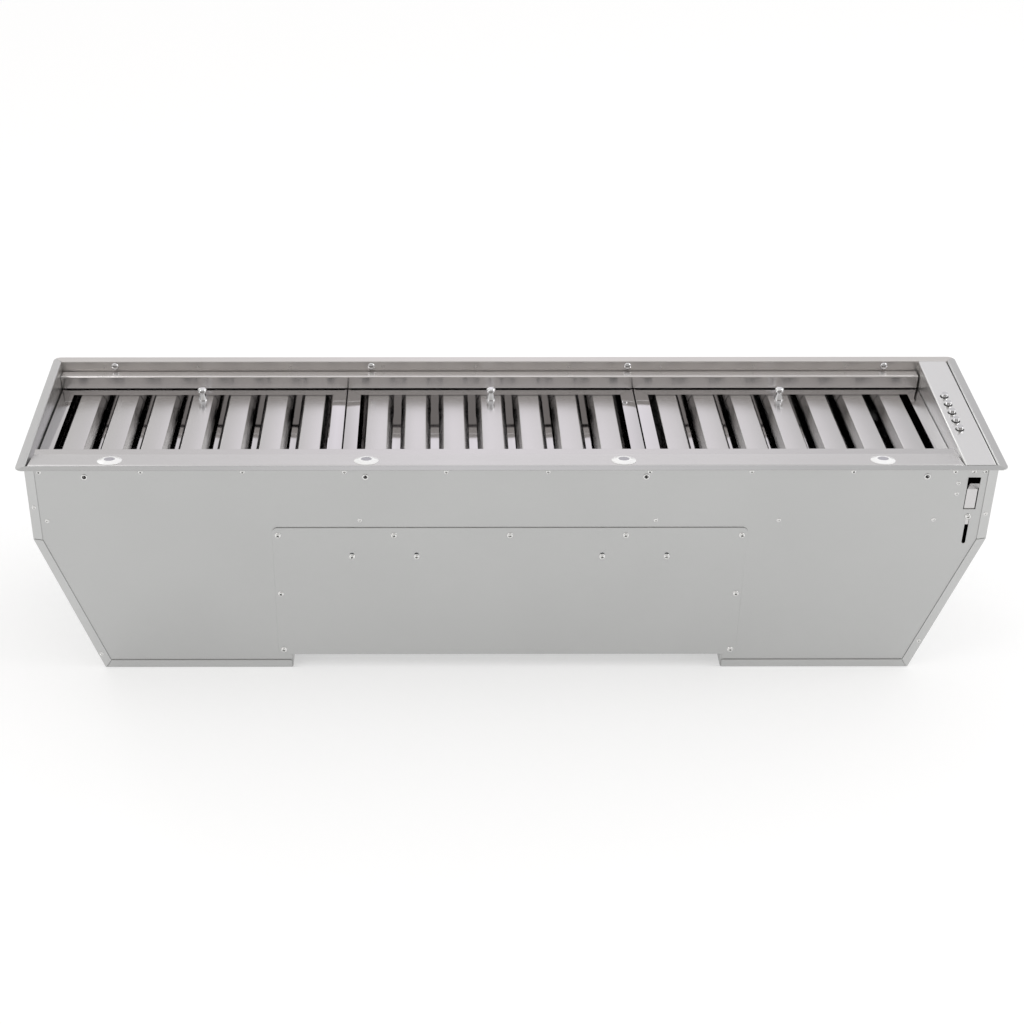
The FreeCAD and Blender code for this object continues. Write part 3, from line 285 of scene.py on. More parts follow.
@dataclass(frozen=True)
class PlatedFinish:
    """Chrome or zinc plating on small turned pieces."""

    title: str
    colour: Colour
    smooth: float
    rough: float
    shade: float = 0.93
    wear_scale: float = 160.0
    cloud_scale: float = 90.0

    def build(self, effects: Effects) -> bpy.types.Material:
        """Makes the material from the shared node groups."""
        maker = MaterialMaker(self.title)
        maker.shader.inputs["Metallic"].default_value = 1.0
        wear = (self.wear_scale,) * 3
        marks = maker.effect(effects.handling, Scale=wear, Clean=self.smooth, Marked=self.rough)
        maker.link(marks.outputs["Marks"], maker.shader.inputs["Roughness"])
        clouds = maker.effect(effects.handling, Scale=(self.cloud_scale,) * 3)
        maker.tint(clouds.outputs["Marks"], self.colour, tuple(c * self.shade for c in self.colour))
        return maker.material


@dataclass(frozen=True)
class SpangledFinish:
    """Galvanised sheet with its zinc crystals."""

    title: str
    colour: Colour
    crystal: float = 0.006
    smooth: float = 0.28
    rough: float = 0.55
    shade: float = 0.72
    relief: float = 0.3
    depth: float = 0.00002

    def build(self, effects: Effects) -> bpy.types.Material:
        """Makes the material from the shared node groups and its own crystals."""
        maker = MaterialMaker(self.title)
        maker.shader.inputs["Metallic"].default_value = 1.0
        place = maker.tree.nodes.new("ShaderNodeTexCoord")
        cells = maker.tree.nodes.new("ShaderNodeTexVoronoi")
        cells.inputs["Scale"].default_value = 1.0 / self.crystal
        value = maker.tree.nodes.new("ShaderNodeSeparateColor")
        rough = maker.tree.nodes.new("ShaderNodeMapRange")
        rough.inputs["To Min"].default_value = self.smooth
        rough.inputs["To Max"].default_value = self.rough
        maker.link(place.outputs["Object"], cells.inputs["Vector"])
        maker.link(cells.outputs["Color"], value.inputs["Color"])
        maker.link(value.outputs["Red"], rough.inputs["Value"])
        maker.link(rough.outputs["Result"], maker.shader.inputs["Roughness"])
        maker.tint(value.outputs["Green"], self.colour, tuple(c * self.shade for c in self.colour))
        speckle = maker.effect(effects.speckle)
        maker.bump(speckle.outputs["Height"], self.relief, self.depth)
        return maker.material


@dataclass(frozen=True)
class MouldedFinish:
    """Moulded plastic or sprayed paint with a fine surface."""

    title: str
    colour: Colour
    smooth: float
    rough: float
    depth: float = 0.00002
    coat: float = 0.0
    shade: float = 0.9
    relief: float = 0.4
    cloud_scale: float = 30.0

    def build(self, effects: Effects) -> bpy.types.Material:
        """Makes the material from the shared node groups."""
        maker = MaterialMaker(self.title)
        maker.shader.inputs["Coat Weight"].default_value = self.coat
        speckle = maker.effect(effects.speckle, Smooth=self.smooth, Rough=self.rough)
        maker.link(speckle.outputs["Roughness"], maker.shader.inputs["Roughness"])
        maker.bump(speckle.outputs["Height"], self.relief, self.depth)
        marks = maker.effect(effects.handling, Scale=(self.cloud_scale,) * 3)
        maker.tint(marks.outputs["Marks"], self.colour, tuple(c * self.shade for c in self.colour))
        return maker.material


SATIN = SheetFinish("satin stainless", (0.52, 0.523, 0.518), 0.28, 0.34)
BRIGHT = SheetFinish("bright stainless", (0.62, 0.61, 0.61), 0.17, 0.23)
# The end, rear and ledge finishes below are the satin sheet painted lighter, as painted light for the light
# that these sheets catch; the rear and ledge finishes also carry a warm tint as painted reflection. The end
# finish also turns the grain along the depth, and the ledge finish is smoother.
ENDS_PAINTED_LIGHTER = replace(SATIN, title="satin stainless, ends, painted lighter", colour=(0.56, 0.563, 0.558), grain=Grain.ALONG_DEPTH)
REAR_PAINTED_LIGHTER = replace(
    SATIN,
    title="satin stainless, rear, painted lighter",
    colour=(0.74, 0.715, 0.7),
    smooth=0.29,
    rough=0.33,
    stretch=0.95,
    depth=0.0000002,
)
LEDGE_PAINTED_LIGHTER = replace(REAR_PAINTED_LIGHTER, title="smoother stainless, ledge, painted lighter", colour=(0.78, 0.755, 0.745), smooth=0.23, rough=0.26)
POLISHED = SheetFinish("polished stainless", (0.62, 0.61, 0.62), 0.05, 0.09, Grain.ALONG_DEPTH, 0.1)


class Palette:
    """Every finish of the insert, by the record's material slot."""

    FINISHES = {
        Slot.SATIN_SHEET: SATIN,
        Slot.BRIGHT_SHEET: BRIGHT,
        Slot.POLISHED_CHANNEL: POLISHED,
        Slot.CHROME: PlatedFinish("chrome plate", (0.74, 0.74, 0.75), 0.04, 0.1),
        Slot.SCREW_STEEL: PlatedFinish("zinc plate", (0.8, 0.8, 0.79), 0.16, 0.3),
        Slot.GALVANISED: SpangledFinish("galvanised sheet", (0.6, 0.62, 0.64)),
        Slot.WHEEL_STEEL: SpangledFinish("wheel sheet", (0.5, 0.52, 0.54), 0.004),
        Slot.ALUMINIUM: SheetFinish("mill aluminium", (0.74, 0.75, 0.76), 0.3, 0.42, stretch=0.4),
        Slot.MOTOR_PAINT: MouldedFinish("motor paint", (0.02, 0.02, 0.022), 0.35, 0.5, 0.00004),
        Slot.BLACK_PLASTIC: MouldedFinish("black plastic", (0.018, 0.018, 0.019), 0.4, 0.55),
        Slot.WHITE_PLASTIC: MouldedFinish("white plastic", (0.95, 0.95, 0.95), 0.12, 0.2, 0.000004, 0.4),
        Slot.LENS: MouldedFinish("frosted lens", (0.4, 0.39, 0.43), 0.35, 0.45, 0.000004),
        Slot.GREY_PLASTIC: MouldedFinish("grey plastic", (0.2, 0.2, 0.21), 0.4, 0.55),
    }

    # Own finishes: the end panels and the control panel have their grain along the depth; the end panels,
    # control panel, far panel and ledge are painted lighter than the near panel, as painted light.
    OWN_GRAIN_AND_PAINTED_LIGHT = {
        "left_end_panel": ENDS_PAINTED_LIGHTER,
        "right_end_panel": ENDS_PAINTED_LIGHTER,
        "control_panel": replace(ENDS_PAINTED_LIGHTER, title="satin stainless, panel, painted lighter", colour=(0.76, 0.76, 0.755)),
        "far_panel": REAR_PAINTED_LIGHTER,
        "rear_ledge": LEDGE_PAINTED_LIGHTER,
    }

    def __init__(self) -> None:
        """Builds every material once."""
        effects = Effects()
        self.materials = {slot: finish.build(effects) for slot, finish in self.FINISHES.items()}
        self.own = {node: finish.build(effects) for node, finish in self.OWN_GRAIN_AND_PAINTED_LIGHT.items()}
        self.slots = {part["node"]: Slot(part["material_slot"]) for part in frame["record"]["subparts"]}

    def dress_solids(self) -> None:
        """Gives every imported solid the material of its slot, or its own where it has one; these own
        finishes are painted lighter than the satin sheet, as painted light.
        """
        for node, slot in self.slots.items():
            solid = frame["nodes"][node]
            solid.data.materials.clear()
            solid.data.materials.append(self.of_node(node, slot))

    def of_node(self, node: str, slot: Slot) -> bpy.types.Material:
        """The material of a node: its own, or else its slot's."""
        return self.own.get(node, self.materials[slot])

    def __getitem__(self, slot: Slot) -> bpy.types.Material:
        """The material of a slot."""
        return self.materials[slot]


# ----------------------------------------------------------------------------------------------------
# Mesh making


def rounded(points: list[Point2], radii: list[float], steps: int = 5) -> list[Point2]:
    """Rounds the corners of a line.

    Args:
        points: the line's corners.
        radii: the radius at each corner; its ends take none.
        steps: straight pieces in each arc.

    Returns:
        The points of the rounded line.
    """
    line = [Vector(points[0])]
    for index in range(1, len(points) - 1):
        corner = Vector(points[index])
        back = (Vector(points[index - 1]) - corner).normalized()
        ahead = (Vector(points[index + 1]) - corner).normalized()
        radius = radii[index]
        half = back.angle(ahead) / 2
        if radius <= 0 or math.pi / 2 - half < STRAIGHT:
            line.append(corner)
            continue
        centre = corner + (back + ahead).normalized() * (radius / math.sin(half))
        first = corner + back * (radius / math.tan(half)) - centre
        last = corner + ahead * (radius / math.tan(half)) - centre
        turn = first.angle_signed(last)
        for step in range(steps + 1):
            angle = -turn * step / steps
            line.append(centre + Matrix.Rotation(angle, 2) @ first)
    line.append(Vector(points[-1]))
    return [tuple(point) for point in line]


class Form:
    """A mesh under construction."""

    def __init__(self) -> None:
        """Starts an empty mesh."""
        self.mesh = bmesh.new()

    def turn(self, profile: list[Point2], sides: int = 32) -> "Form":
        """Adds a solid turned about Z.

        Args:
            profile: radius and height of each point, in metres, from the axis back to the axis.
            sides: flats around the turn.

        Returns:
            The form itself.
        """
        rings = []
        for radius, height in profile:
            if radius < ON_AXIS:
                rings.append([self.mesh.verts.new((0.0, 0.0, height))])
                continue
            angles = [2 * math.pi * n / sides for n in range(sides)]
            spots = [(radius * math.cos(a), radius * math.sin(a), height) for a in angles]
            rings.append([self.mesh.verts.new(spot) for spot in spots])
        for below, above in zip(rings, rings[1:]):
            for n in range(sides):
                low = [below[n % len(below)], below[(n + 1) % len(below)]]
                high = [above[(n + 1) % len(above)], above[n % len(above)]]
                corners = list(dict.fromkeys(low + high))
                if len(corners) > 2:
                    self.mesh.faces.new(corners)
        return self

    def run(self, starts: list[Vector], ends: list[Vector]) -> "Form":
        """Adds a solid that runs from the points of one section to those of another."""
        near = [self.mesh.verts.new(point) for point in starts]
        far = [self.mesh.verts.new(point) for point in ends]
        count = len(starts)
        for n in range(count):
            self.mesh.faces.new((near[n], near[(n + 1) % count], far[(n + 1) % count], far[n]))
        self.mesh.faces.new(near[::-1])
        self.mesh.faces.new(far)
        return self

    def block(self, low: Vector, high: Vector) -> "Form":
        """Adds a box between two corners."""
        size = Vector(high) - Vector(low)
        middle = (Vector(high) + Vector(low)) / 2
        place = Matrix.Translation(middle) @ Matrix.Diagonal((*size, 1.0))
        bmesh.ops.create_cube(self.mesh, size=1.0, matrix=place)
        return self

    def add(self, other: bpy.types.Mesh, place: Matrix) -> "Form":
        """Adds a finished mesh at a place."""
        count = len(self.mesh.verts)
        self.mesh.from_mesh(other)
        self.mesh.verts.ensure_lookup_table()
        bmesh.ops.transform(self.mesh, matrix=place, verts=self.mesh.verts[count:])
        return self

    def finish(self, name: str) -> bpy.types.Mesh:
        """Closes the form into a mesh with outward normals and smooth rounds."""
        bmesh.ops.recalc_face_normals(self.mesh, faces=self.mesh.faces)
        mesh = bpy.data.meshes.new(name)
        self.mesh.to_mesh(mesh)
        self.mesh.free()
        mesh.shade_smooth()
        mesh.set_sharp_from_angle(angle=SHARP_ANGLE)
        return mesh


def carve(mesh: bpy.types.Mesh, cutters: list[bpy.types.Mesh]) -> bpy.types.Mesh:
    """Cuts meshes out of a mesh.

    Args:
        mesh: the closed mesh to cut.
        cutters: closed meshes to take out of it.

    Returns:
        A new mesh.
    """
    body = bpy.data.objects.new("carved", mesh)
    bpy.context.scene.collection.objects.link(body)
    tools = [body]
    for cutter in cutters:
        tool = bpy.data.objects.new("cutter", cutter)
        bpy.context.scene.collection.objects.link(tool)
        cut = body.modifiers.new("cut", "BOOLEAN")
        cut.operation = "DIFFERENCE"
        cut.object = tool
        tools.append(tool)
    graph = bpy.context.evaluated_depsgraph_get()
    result = bpy.data.meshes.new_from_object(body.evaluated_get(graph))
    for tool in tools:
        bpy.data.objects.remove(tool)
    result.shade_smooth()
    result.set_sharp_from_angle(angle=SHARP_ANGLE)
    return result


def softened(source: bpy.types.Mesh, radius: float, title: str) -> bpy.types.Mesh:
    """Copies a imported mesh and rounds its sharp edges.

    Args:
        source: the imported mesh, which stays as it is.
        radius: how far each rounding reaches from its edge.
        title: the new mesh's name.

    Returns:
        The softened copy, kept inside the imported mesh's box.
    """
    form = Form()
    form.mesh.from_mesh(source)
    bmesh.ops.remove_doubles(form.mesh, verts=form.mesh.verts, dist=WELD_GAP)
    bmesh.ops.dissolve_limit(form.mesh, angle_limit=FLAT_ANGLE, verts=form.mesh.verts, edges=form.mesh.edges)
    folds = [edge for edge in form.mesh.edges if edge.is_manifold]
    sharp = [edge for edge in folds if edge.calc_face_angle(0.0) > SOFTENED_ANGLE]
    rounds = bmesh.ops.bevel(form.mesh, geom=sharp, offset=radius, segments=2, profile=0.5, affect="EDGES")
    form.mesh.faces.index_update()
    soft = {face.index for face in rounds["faces"]}
    mesh = form.finish(title)
    low = [min(vertex.co[axis] for vertex in source.vertices) for axis in range(3)]
    high = [max(vertex.co[axis] for vertex in source.vertices) for axis in range(3)]
    for vertex in mesh.vertices:
        vertex.co = [min(max(vertex.co[axis], low[axis]), high[axis]) for axis in range(3)]
    for polygon in mesh.polygons:
        corners = [mesh.vertices[index].co for index in polygon.vertices]
        length = max((here - there).length for here, there in zip(corners, corners[1:] + corners[:1]))
        polygon.use_smooth = polygon.index in soft or polygon.area < length * NARROWEST_FLAT
    return mesh


@dataclass(frozen=True)
class Island:
    """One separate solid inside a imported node."""

    low: Vector
    high: Vector

    @property
    def middle(self) -> Vector:
        """Centre of its box."""
        return (self.low + self.high) / 2


def islands(node: str) -> list[Island]:
    """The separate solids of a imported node, from left to right.

    Args:
        node: the node's name.

    Returns:
        The box of each solid.
    """
    mesh = frame["nodes"][node].data
    owner: dict[tuple[float, ...], tuple[float, ...]] = {}

    def root(key: tuple[float, ...]) -> tuple[float, ...]:
        """The key that stands for a whole solid."""
        while owner[key] != key:
            owner[key] = owner[owner[key]]
            key = owner[key]
        return key

    keys = [tuple(round(c, 6) for c in vertex.co) for vertex in mesh.vertices]
    for key in keys:
        owner.setdefault(key, key)
    for polygon in mesh.polygons:
        first = root(keys[polygon.vertices[0]])
        for index in polygon.vertices[1:]:
            owner[root(keys[index])] = first
    groups: dict[tuple[float, ...], list[tuple[float, ...]]] = {}
    for key in owner:
        groups.setdefault(root(key), []).append(key)
    found = []
    for members in groups.values():
        low = Vector([min(member[axis] for member in members) for axis in range(3)])
        high = Vector([max(member[axis] for member in members) for axis in range(3)])
        found.append(Island(low, high))
    return sorted(found, key=lambda island: (round(island.middle.x, 4), island.middle.z))


class Dresser:
    """Turns finished meshes into pieces that ride on the insert's bodies."""

    def __init__(self, palette: Palette) -> None:
        """Keeps the palette that the pieces are dressed from."""
        self.palette = palette

    def piece(self, mesh: bpy.types.Mesh, name: str, slot: Slot, body: str, *nodes: str) -> bpy.types.Object:
        """Makes a piece of the insert.

        Args:
            mesh: its finished mesh, in place.
            name: the piece's name.
            slot: the record's slot that its finish comes from.
            body: the body that it rides on.
            nodes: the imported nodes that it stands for.

        Returns:
            The new object.
        """
        item = bpy.data.objects.new(name, mesh)
        bpy.context.scene.collection.objects.link(item)
        mesh.materials.clear()
        mesh.materials.append(self.palette[slot])
        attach(item, body)
        if nodes:
            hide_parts(*nodes)
        log.info("%s rides on %s, %d faces", name, body, len(mesh.polygons))
        return item


# ----------------------------------------------------------------------------------------------------
# Sub-assemblies


HOOD = "hood"
TOWARDS_NEAR = Matrix.Rotation(math.radians(90.0), 4, "X")
TOWARDS_FAR = Matrix.Rotation(math.radians(-90.0), 4, "X")


HEAD_SHAPE = ((0.0, 1.0), (0.55, 0.94), (0.88, 0.62), (1.0, 0.18), (1.0, 0.0))
HEAD_ROUNDING = (0.0, 2.2, 1.1, 0.2, 0.0)
SHANK_SHARE = 0.47
RECESS_TAPER = 0.45
RECESS_FLOOR = -0.25
RECESS_TOP = 1.3


@dataclass
class ScrewRow:
    """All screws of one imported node: domed heads with a cross recess, each turned its own way."""

    dresser: Dresser
    node: str
    head_radius: float
    head_height: float
    slot: Slot = Slot.SCREW_STEEL
    body: str = HOOD
    recessed: bool = True
    recess_reach: float = 0.55
    recess_half: float = 0.16
    seed: int = 1
    wall_y: float = 0.0

    def _master(self, length: float) -> bpy.types.Mesh:
        """One screw, head up, with its seat at the origin."""
        shank = self.head_radius * SHANK_SHARE
        head = [(self.head_radius * across, self.head_height * up) for across, up in HEAD_SHAPE]
        foot = [(shank, 0.0), (shank, -length), (0.0, -length)]
        radii = [share * self.head_height for share in HEAD_ROUNDING] + [0.0] * len(foot)
        profile = rounded(head + foot, radii, 3)
        mesh = Form().turn(profile, 24).finish(f"{self.node}_screw")
        return carve(mesh, self._recess()) if self.recessed else mesh

    def _recess(self) -> list[bpy.types.Mesh]:
        """Two crossed, tapered wings of the recess."""
        reach = self.head_radius * self.recess_reach
        half = self.head_radius * self.recess_half
        floor = RECESS_FLOOR * self.head_radius
        top = self.head_height * RECESS_TOP
        foot = reach * RECESS_TAPER
        wings = []
        section = [(-reach, top), (-foot, floor), (foot, floor), (reach, top)]
        for quarter in (0.0, math.pi / 2):
            turn = Matrix.Rotation(quarter, 3, "Z")
            starts = [turn @ Vector((a, -half, z)) for a, z in section]
            ends = [turn @ Vector((a, half, z)) for a, z in section]
            wings.append(Form().run(starts, ends).finish("wing"))
        return wings

    def build(self) -> bpy.types.Object:
        """Makes the row as one piece that stands for the node."""
        masters: dict[float, bpy.types.Mesh] = {}
        dice = random.Random(self.seed)
        form = Form()
        for place in islands(self.node):
            length = round(place.high.y - place.low.y - self.head_height, 5)
            if length not in masters:
                masters[length] = self._master(length)
            near = place.middle.y < self.wall_y
            seat = place.low.y + self.head_height if near else place.high.y - self.head_height
            turn = Matrix.Rotation(dice.uniform(0.0, math.pi / 2), 4, "Z")
            facing = TOWARDS_NEAR if near else TOWARDS_FAR
            spot = Matrix.Translation((place.middle.x, seat, place.middle.z))
            form.add(masters[length], spot @ facing @ turn)
        name = self.node + "_row"
        return self.dresser.piece(form.finish(name), name, self.slot, self.body, self.node)


@dataclass
class Casing:
    """The sheets of the casing that show, with their sheared and folded edges softened."""

    dresser: Dresser
    edge: float = 0.3 * MM
    sheets: tuple[str, ...] = (
        "near_panel",
        "access_cover",
        "left_end_panel",
        "right_end_panel",
        "foot_pans",
        "light_strip",
        "rear_ledge",
        "control_panel",
    )

    def build(self) -> None:
        """Makes the softened sheets."""
        for node in self.sheets:
            mesh = softened(frame["nodes"][node].data, self.edge, node + "_sheet")
            slot = self.dresser.palette.slots[node]
            item = self.dresser.piece(mesh, node + "_sheet", slot, HOOD, node)
            item.data.materials[0] = self.dresser.palette.of_node(node, slot)


@dataclass
class Fasteners:
    """Every row of screws on the casing."""

    dresser: Dresser

    def build(self) -> None:
        """Makes the rows."""
        ScrewRow(self.dresser, "cover_screws", 4.0 * MM, 1.8 * MM, seed=3).build()
        ScrewRow(self.dresser, "flange_screws", 3.2 * MM, 1.6 * MM, seed=7).build()
        flush = ScrewRow(self.dresser, "seam_screws", 2.6 * MM, 0.6 * MM, seed=11)
        replace(flush, recess_reach=0.6, recess_half=0.26).build()
        ScrewRow(self.dresser, "clamp_screw", 4.0 * MM, 1.8 * MM, body="clamp", seed=13).build()
        dome = ScrewRow(self.dresser, "dome_screws", 5.0 * MM, 3.2 * MM, Slot.CHROME)
        replace(dome, recessed=False, wall_y=1.0).build()


@dataclass
class Lamp:
    """One lamp: a flared ring, its funnel and the frosted lens, standing on the sloping light strip."""

    dresser: Dresser
    number: int
    strip_fall: float = math.atan2(7.2, 37.8)
    ring_radius: float = 14.8 * MM
    body_radius: float = 12.5 * MM
    body_depth: float = 6.5 * MM
    ring_edge: float = 0.7 * MM
    play: float = 0.1 * MM
    proud: float = 2.6 * MM
    crown_radius: float = 8.2 * MM
    lens_radius: float = 6.4 * MM
    lens_seat: float = 0.4 * MM
    lens_top: float = 2.8 * MM

    def build(self) -> None:
        """Makes the housing and the lens."""
        housing_node = f"lamp_housing_{self.number}"
        lens_low, lens_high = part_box(f"lamp_lens_{self.number}")
        tilt = Matrix.Rotation(-self.strip_fall, 4, "X")
        middle = (lens_low + lens_high) / 2
        axis = tilt.to_3x3() @ Vector((0.0, 0.0, 1.0))
        seat = middle - axis * ((self.lens_seat + self.lens_top) / 2)
        place = Matrix.Translation(seat) @ tilt
        mouth = self.lens_radius + self.play
        points = [
            (0.0, -self.body_depth),
            (self.body_radius, -self.body_depth),
            (self.body_radius, 0.0),
            (self.ring_radius, 0.0),
            (self.ring_radius, self.ring_edge),
            (self.crown_radius, self.proud),
            (mouth, self.proud),
            (mouth, self.lens_seat),
            (0.0, self.lens_seat),
        ]
        radii = [0, 1 * MM, 0, 0, 0.5 * MM, 1.2 * MM, 0.2 * MM, 0, 0]
        housing = Form().turn(rounded(points, radii), 48).finish(housing_node + "_shell")
        housing.transform(place)
        self.dresser.piece(housing, housing_node + "_shell", Slot.WHITE_PLASTIC, HOOD, housing_node)
        lens_points = [
            (0.0, self.lens_seat),
            (self.lens_radius, self.lens_seat),
            (self.lens_radius, self.lens_top - 0.4 * MM),
            (self.lens_radius * 0.6, self.lens_top - 0.05 * MM),
            (0.0, self.lens_top),
        ]
        lens_radii = [0, 0, 0.6 * MM, 5 * MM, 0]
        lens = Form().turn(rounded(lens_points, lens_radii), 40).finish("lens")
        lens.transform(place)
        lens_node = f"lamp_lens_{self.number}"
        self.dresser.piece(lens, lens_node + "_glass", Slot.LENS, HOOD, lens_node)


@dataclass
class PushButton:
    """One chrome button with a rounded edge and a slightly dished top."""

    dresser: Dresser
    number: int
    radius: float = 4.25 * MM
    flange_radius: float = 5.2 * MM
    flange: float = 2.0 * MM
    dish: float = 0.12 * MM

    def build(self) -> None:
        """Makes the button."""
        node = f"button_{self.number}"
        low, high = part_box(node)
        middle = (low + high) / 2
        top = high.z - low.z
        points = [
            (0.0, 0.0),
            (self.flange_radius, 0.0),
            (self.flange_radius, self.flange),
            (self.radius, self.flange),
            (self.radius, top),
            (self.radius * 0.7, top - self.dish / 3),
            (0.0, top - self.dish),
        ]
        radii = [0, 0.2 * MM, 0.2 * MM, 0.2 * MM, 0.5 * MM, 4 * MM, 0]
        mesh = Form().turn(rounded(points, radii), 40).finish(node + "_cap")
        mesh.transform(Matrix.Translation((middle.x, middle.y, low.z)))
        self.dresser.piece(mesh, node + "_cap", Slot.CHROME, node, node)


@dataclass
class BaffleFilter:
    """One filter: a mitred polished frame, two rows of folded baffles and a turned knob."""

    dresser: Dresser
    side: str
    tilt: float = math.radians(3.2)
    width: float = 371.0 * MM
    depth: float = 192.0 * MM
    height: float = 26.0 * MM
    rail: float = 17.0 * MM
    sheet: float = 1.0 * MM
    seam: float = 0.15 * MM
    play: float = 0.1 * MM
    end_gap: float = 0.4 * MM
    slat_start: float = 2.2 * MM
    slat_bend: float = 0.6 * MM
    slat_sheet: float = 0.8 * MM
    slat_count: int = 7
    slat_pitch: float = 48.4 * MM
    slat_flat: float = 26.0 * MM
    slat_spread: float = 5.9 * MM
    slat_drop: float = 12.0 * MM
    channel_spread: float = 5.0 * MM
    channel_rise: float = 12.4 * MM
    channel_start: float = 12.0 * MM
    tab_gap: float = 0.4 * MM
    knob_y: float = 165.0 * MM
    knob_stud: tuple[Point2, ...] = ((0.0, -6.0), (2.0, -6.0), (2.0, 0.0))
    knob_flare: tuple[Point2, ...] = ((6.0, 0.0), (6.0, 0.8), (2.9, 9.6))
    knob_head: tuple[Point2, ...] = ((6.0, 11.0), (6.0, 16.0), (0.0, 16.0))
    knob_rounding: tuple[float, ...] = (0.0, 0.0, 0.0, 0.0, 0.3, 1.5, 0.8, 3.2, 0.0)

    def __post_init__(self) -> None:
        """Works out where the filter's own frame lies."""
        low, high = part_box(f"filter_frame_{self.side}")
        middle_x = (low.x + high.x) / 2
        front = high.z - self.height * math.cos(self.tilt)
        self.place = Matrix.Translation((middle_x, low.y, front)) @ Matrix.Rotation(-self.tilt, 4, "X")
        self.body = f"filter_{self.side}"

    def _rail_section(self) -> list[Point2]:
        """Channel section of the frame: inward distance and height of each point."""
        wall = self.sheet
        outer = [(self.rail, 0.0), (0.0, 0.0), (0.0, self.height), (self.rail, self.height)]
        top = self.height - wall
        inner = [(self.rail, top), (wall, top), (wall, wall), (self.rail, wall)]
        outer_line = rounded(outer, [0, 2.0 * MM, 0.6 * MM, 0], 5)
        inner_line = rounded(inner, [0, 0.3 * MM, 0.9 * MM, 0], 4)
        return outer_line + inner_line

    def frame(self) -> None:
        """Makes the frame of four rails that meet in mitred corners."""
        section = self._rail_section()
        middle = Vector((0.0, self.depth / 2, 0.0))
        form = Form()
        for quarter in range(4):
            turn = Matrix.Rotation(quarter * math.pi / 2, 3, "Z")
            along = (self.width if quarter % 2 == 0 else self.depth) / 2
            out = (self.depth if quarter % 2 == 0 else self.width) / 2
            starts, ends = [], []
            for inward, height in section:
                reach = along - inward - self.seam
                starts.append(middle + turn @ Vector((-reach, inward - out, height)))
                ends.append(middle + turn @ Vector((reach, inward - out, height)))
            form.run(starts, ends)
        mesh = form.finish(self.body + "_frame")
        mesh.transform(self.place)
        node = f"filter_frame_{self.side}"
        self.dresser.piece(mesh, node + "_rails", Slot.POLISHED_CHANNEL, self.body, node)

    def _folded(self, line: list[Point2], inside: float, side: int) -> list[Point2]:
        """Closed section of a thin folded sheet along a line; side 1 thickens it to its left."""
        count = len(line)
        other = []
        for index in range(count):
            here = Vector(line[index])
            before = (here - Vector(line[max(index - 1, 0)])) if index else Vector(line[1]) - here
            after = (Vector(line[min(index + 1, count - 1)]) - here) if index < count - 1 else before
            first, last = before.normalized(), after.normalized()
            normal = Vector((-first.y, first.x)) + Vector((-last.y, last.x))
            share = 2.0 / normal.length_squared
            other.append(tuple(here + normal * (self.slat_sheet * share * side)))
        outside = inside + self.slat_sheet
        turn = (line[1][0] - line[0][0]) * (line[2][1] - line[1][1])
        turn -= (line[1][1] - line[0][1]) * (line[2][0] - line[1][0])
        near_radius, far_radius = (outside, inside) if turn * side > 0 else (inside, outside)
        near_line = rounded(line, [near_radius] * count, 4)
        far_line = rounded(other, [far_radius] * count, 4)
        return near_line + far_line[::-1]

    def _row(self, form: Form, lines: list[tuple[float, list[Point2]]], side: int, start: float) -> None:
        """Adds one row of folded strips that run from the front to the rear inside the frame."""
        for offset, line in lines:
            section = self._folded(line, self.slat_bend, side)
            starts = [Vector((a + offset, start, z)) for a, z in section]
            ends = [Vector((a + offset, self.depth - start, z)) for a, z in section]
            form.run(starts, ends)

    def _tabs(self, form: Form, outline: list[Point2]) -> None:
        """Adds the upturned ends of a channel, front and rear, from their outline."""
        rear = self.depth - self.channel_start
        for first in (self.channel_start, rear - self.slat_sheet):
            starts = [Vector((a, first, z)) for a, z in outline]
            ends = [Vector((a, first + self.slat_sheet, z)) for a, z in outline]
            form.run(starts, ends)

    def baffles(self) -> None:
        """Makes the upper row."""
        flat = self.slat_flat / 2
        foot = flat + self.slat_spread
        top = self.height - self.sheet - self.play
        low = top - self.slat_drop
        line = [(-foot, low), (-flat, top), (flat, top), (foot, low)]
        shift = (self.slat_count - 1) / 2
        lines = [((n - shift) * self.slat_pitch, line) for n in range(self.slat_count)]
        form = Form()
        self._row(form, lines, -1, self.slat_start)
        node = f"filter_baffles_{self.side}"
        mesh = form.finish(node + "_slats")
        mesh.transform(self.place)
        self.dresser.piece(mesh, node + "_slats", Slot.BRIGHT_SHEET, self.body, node)

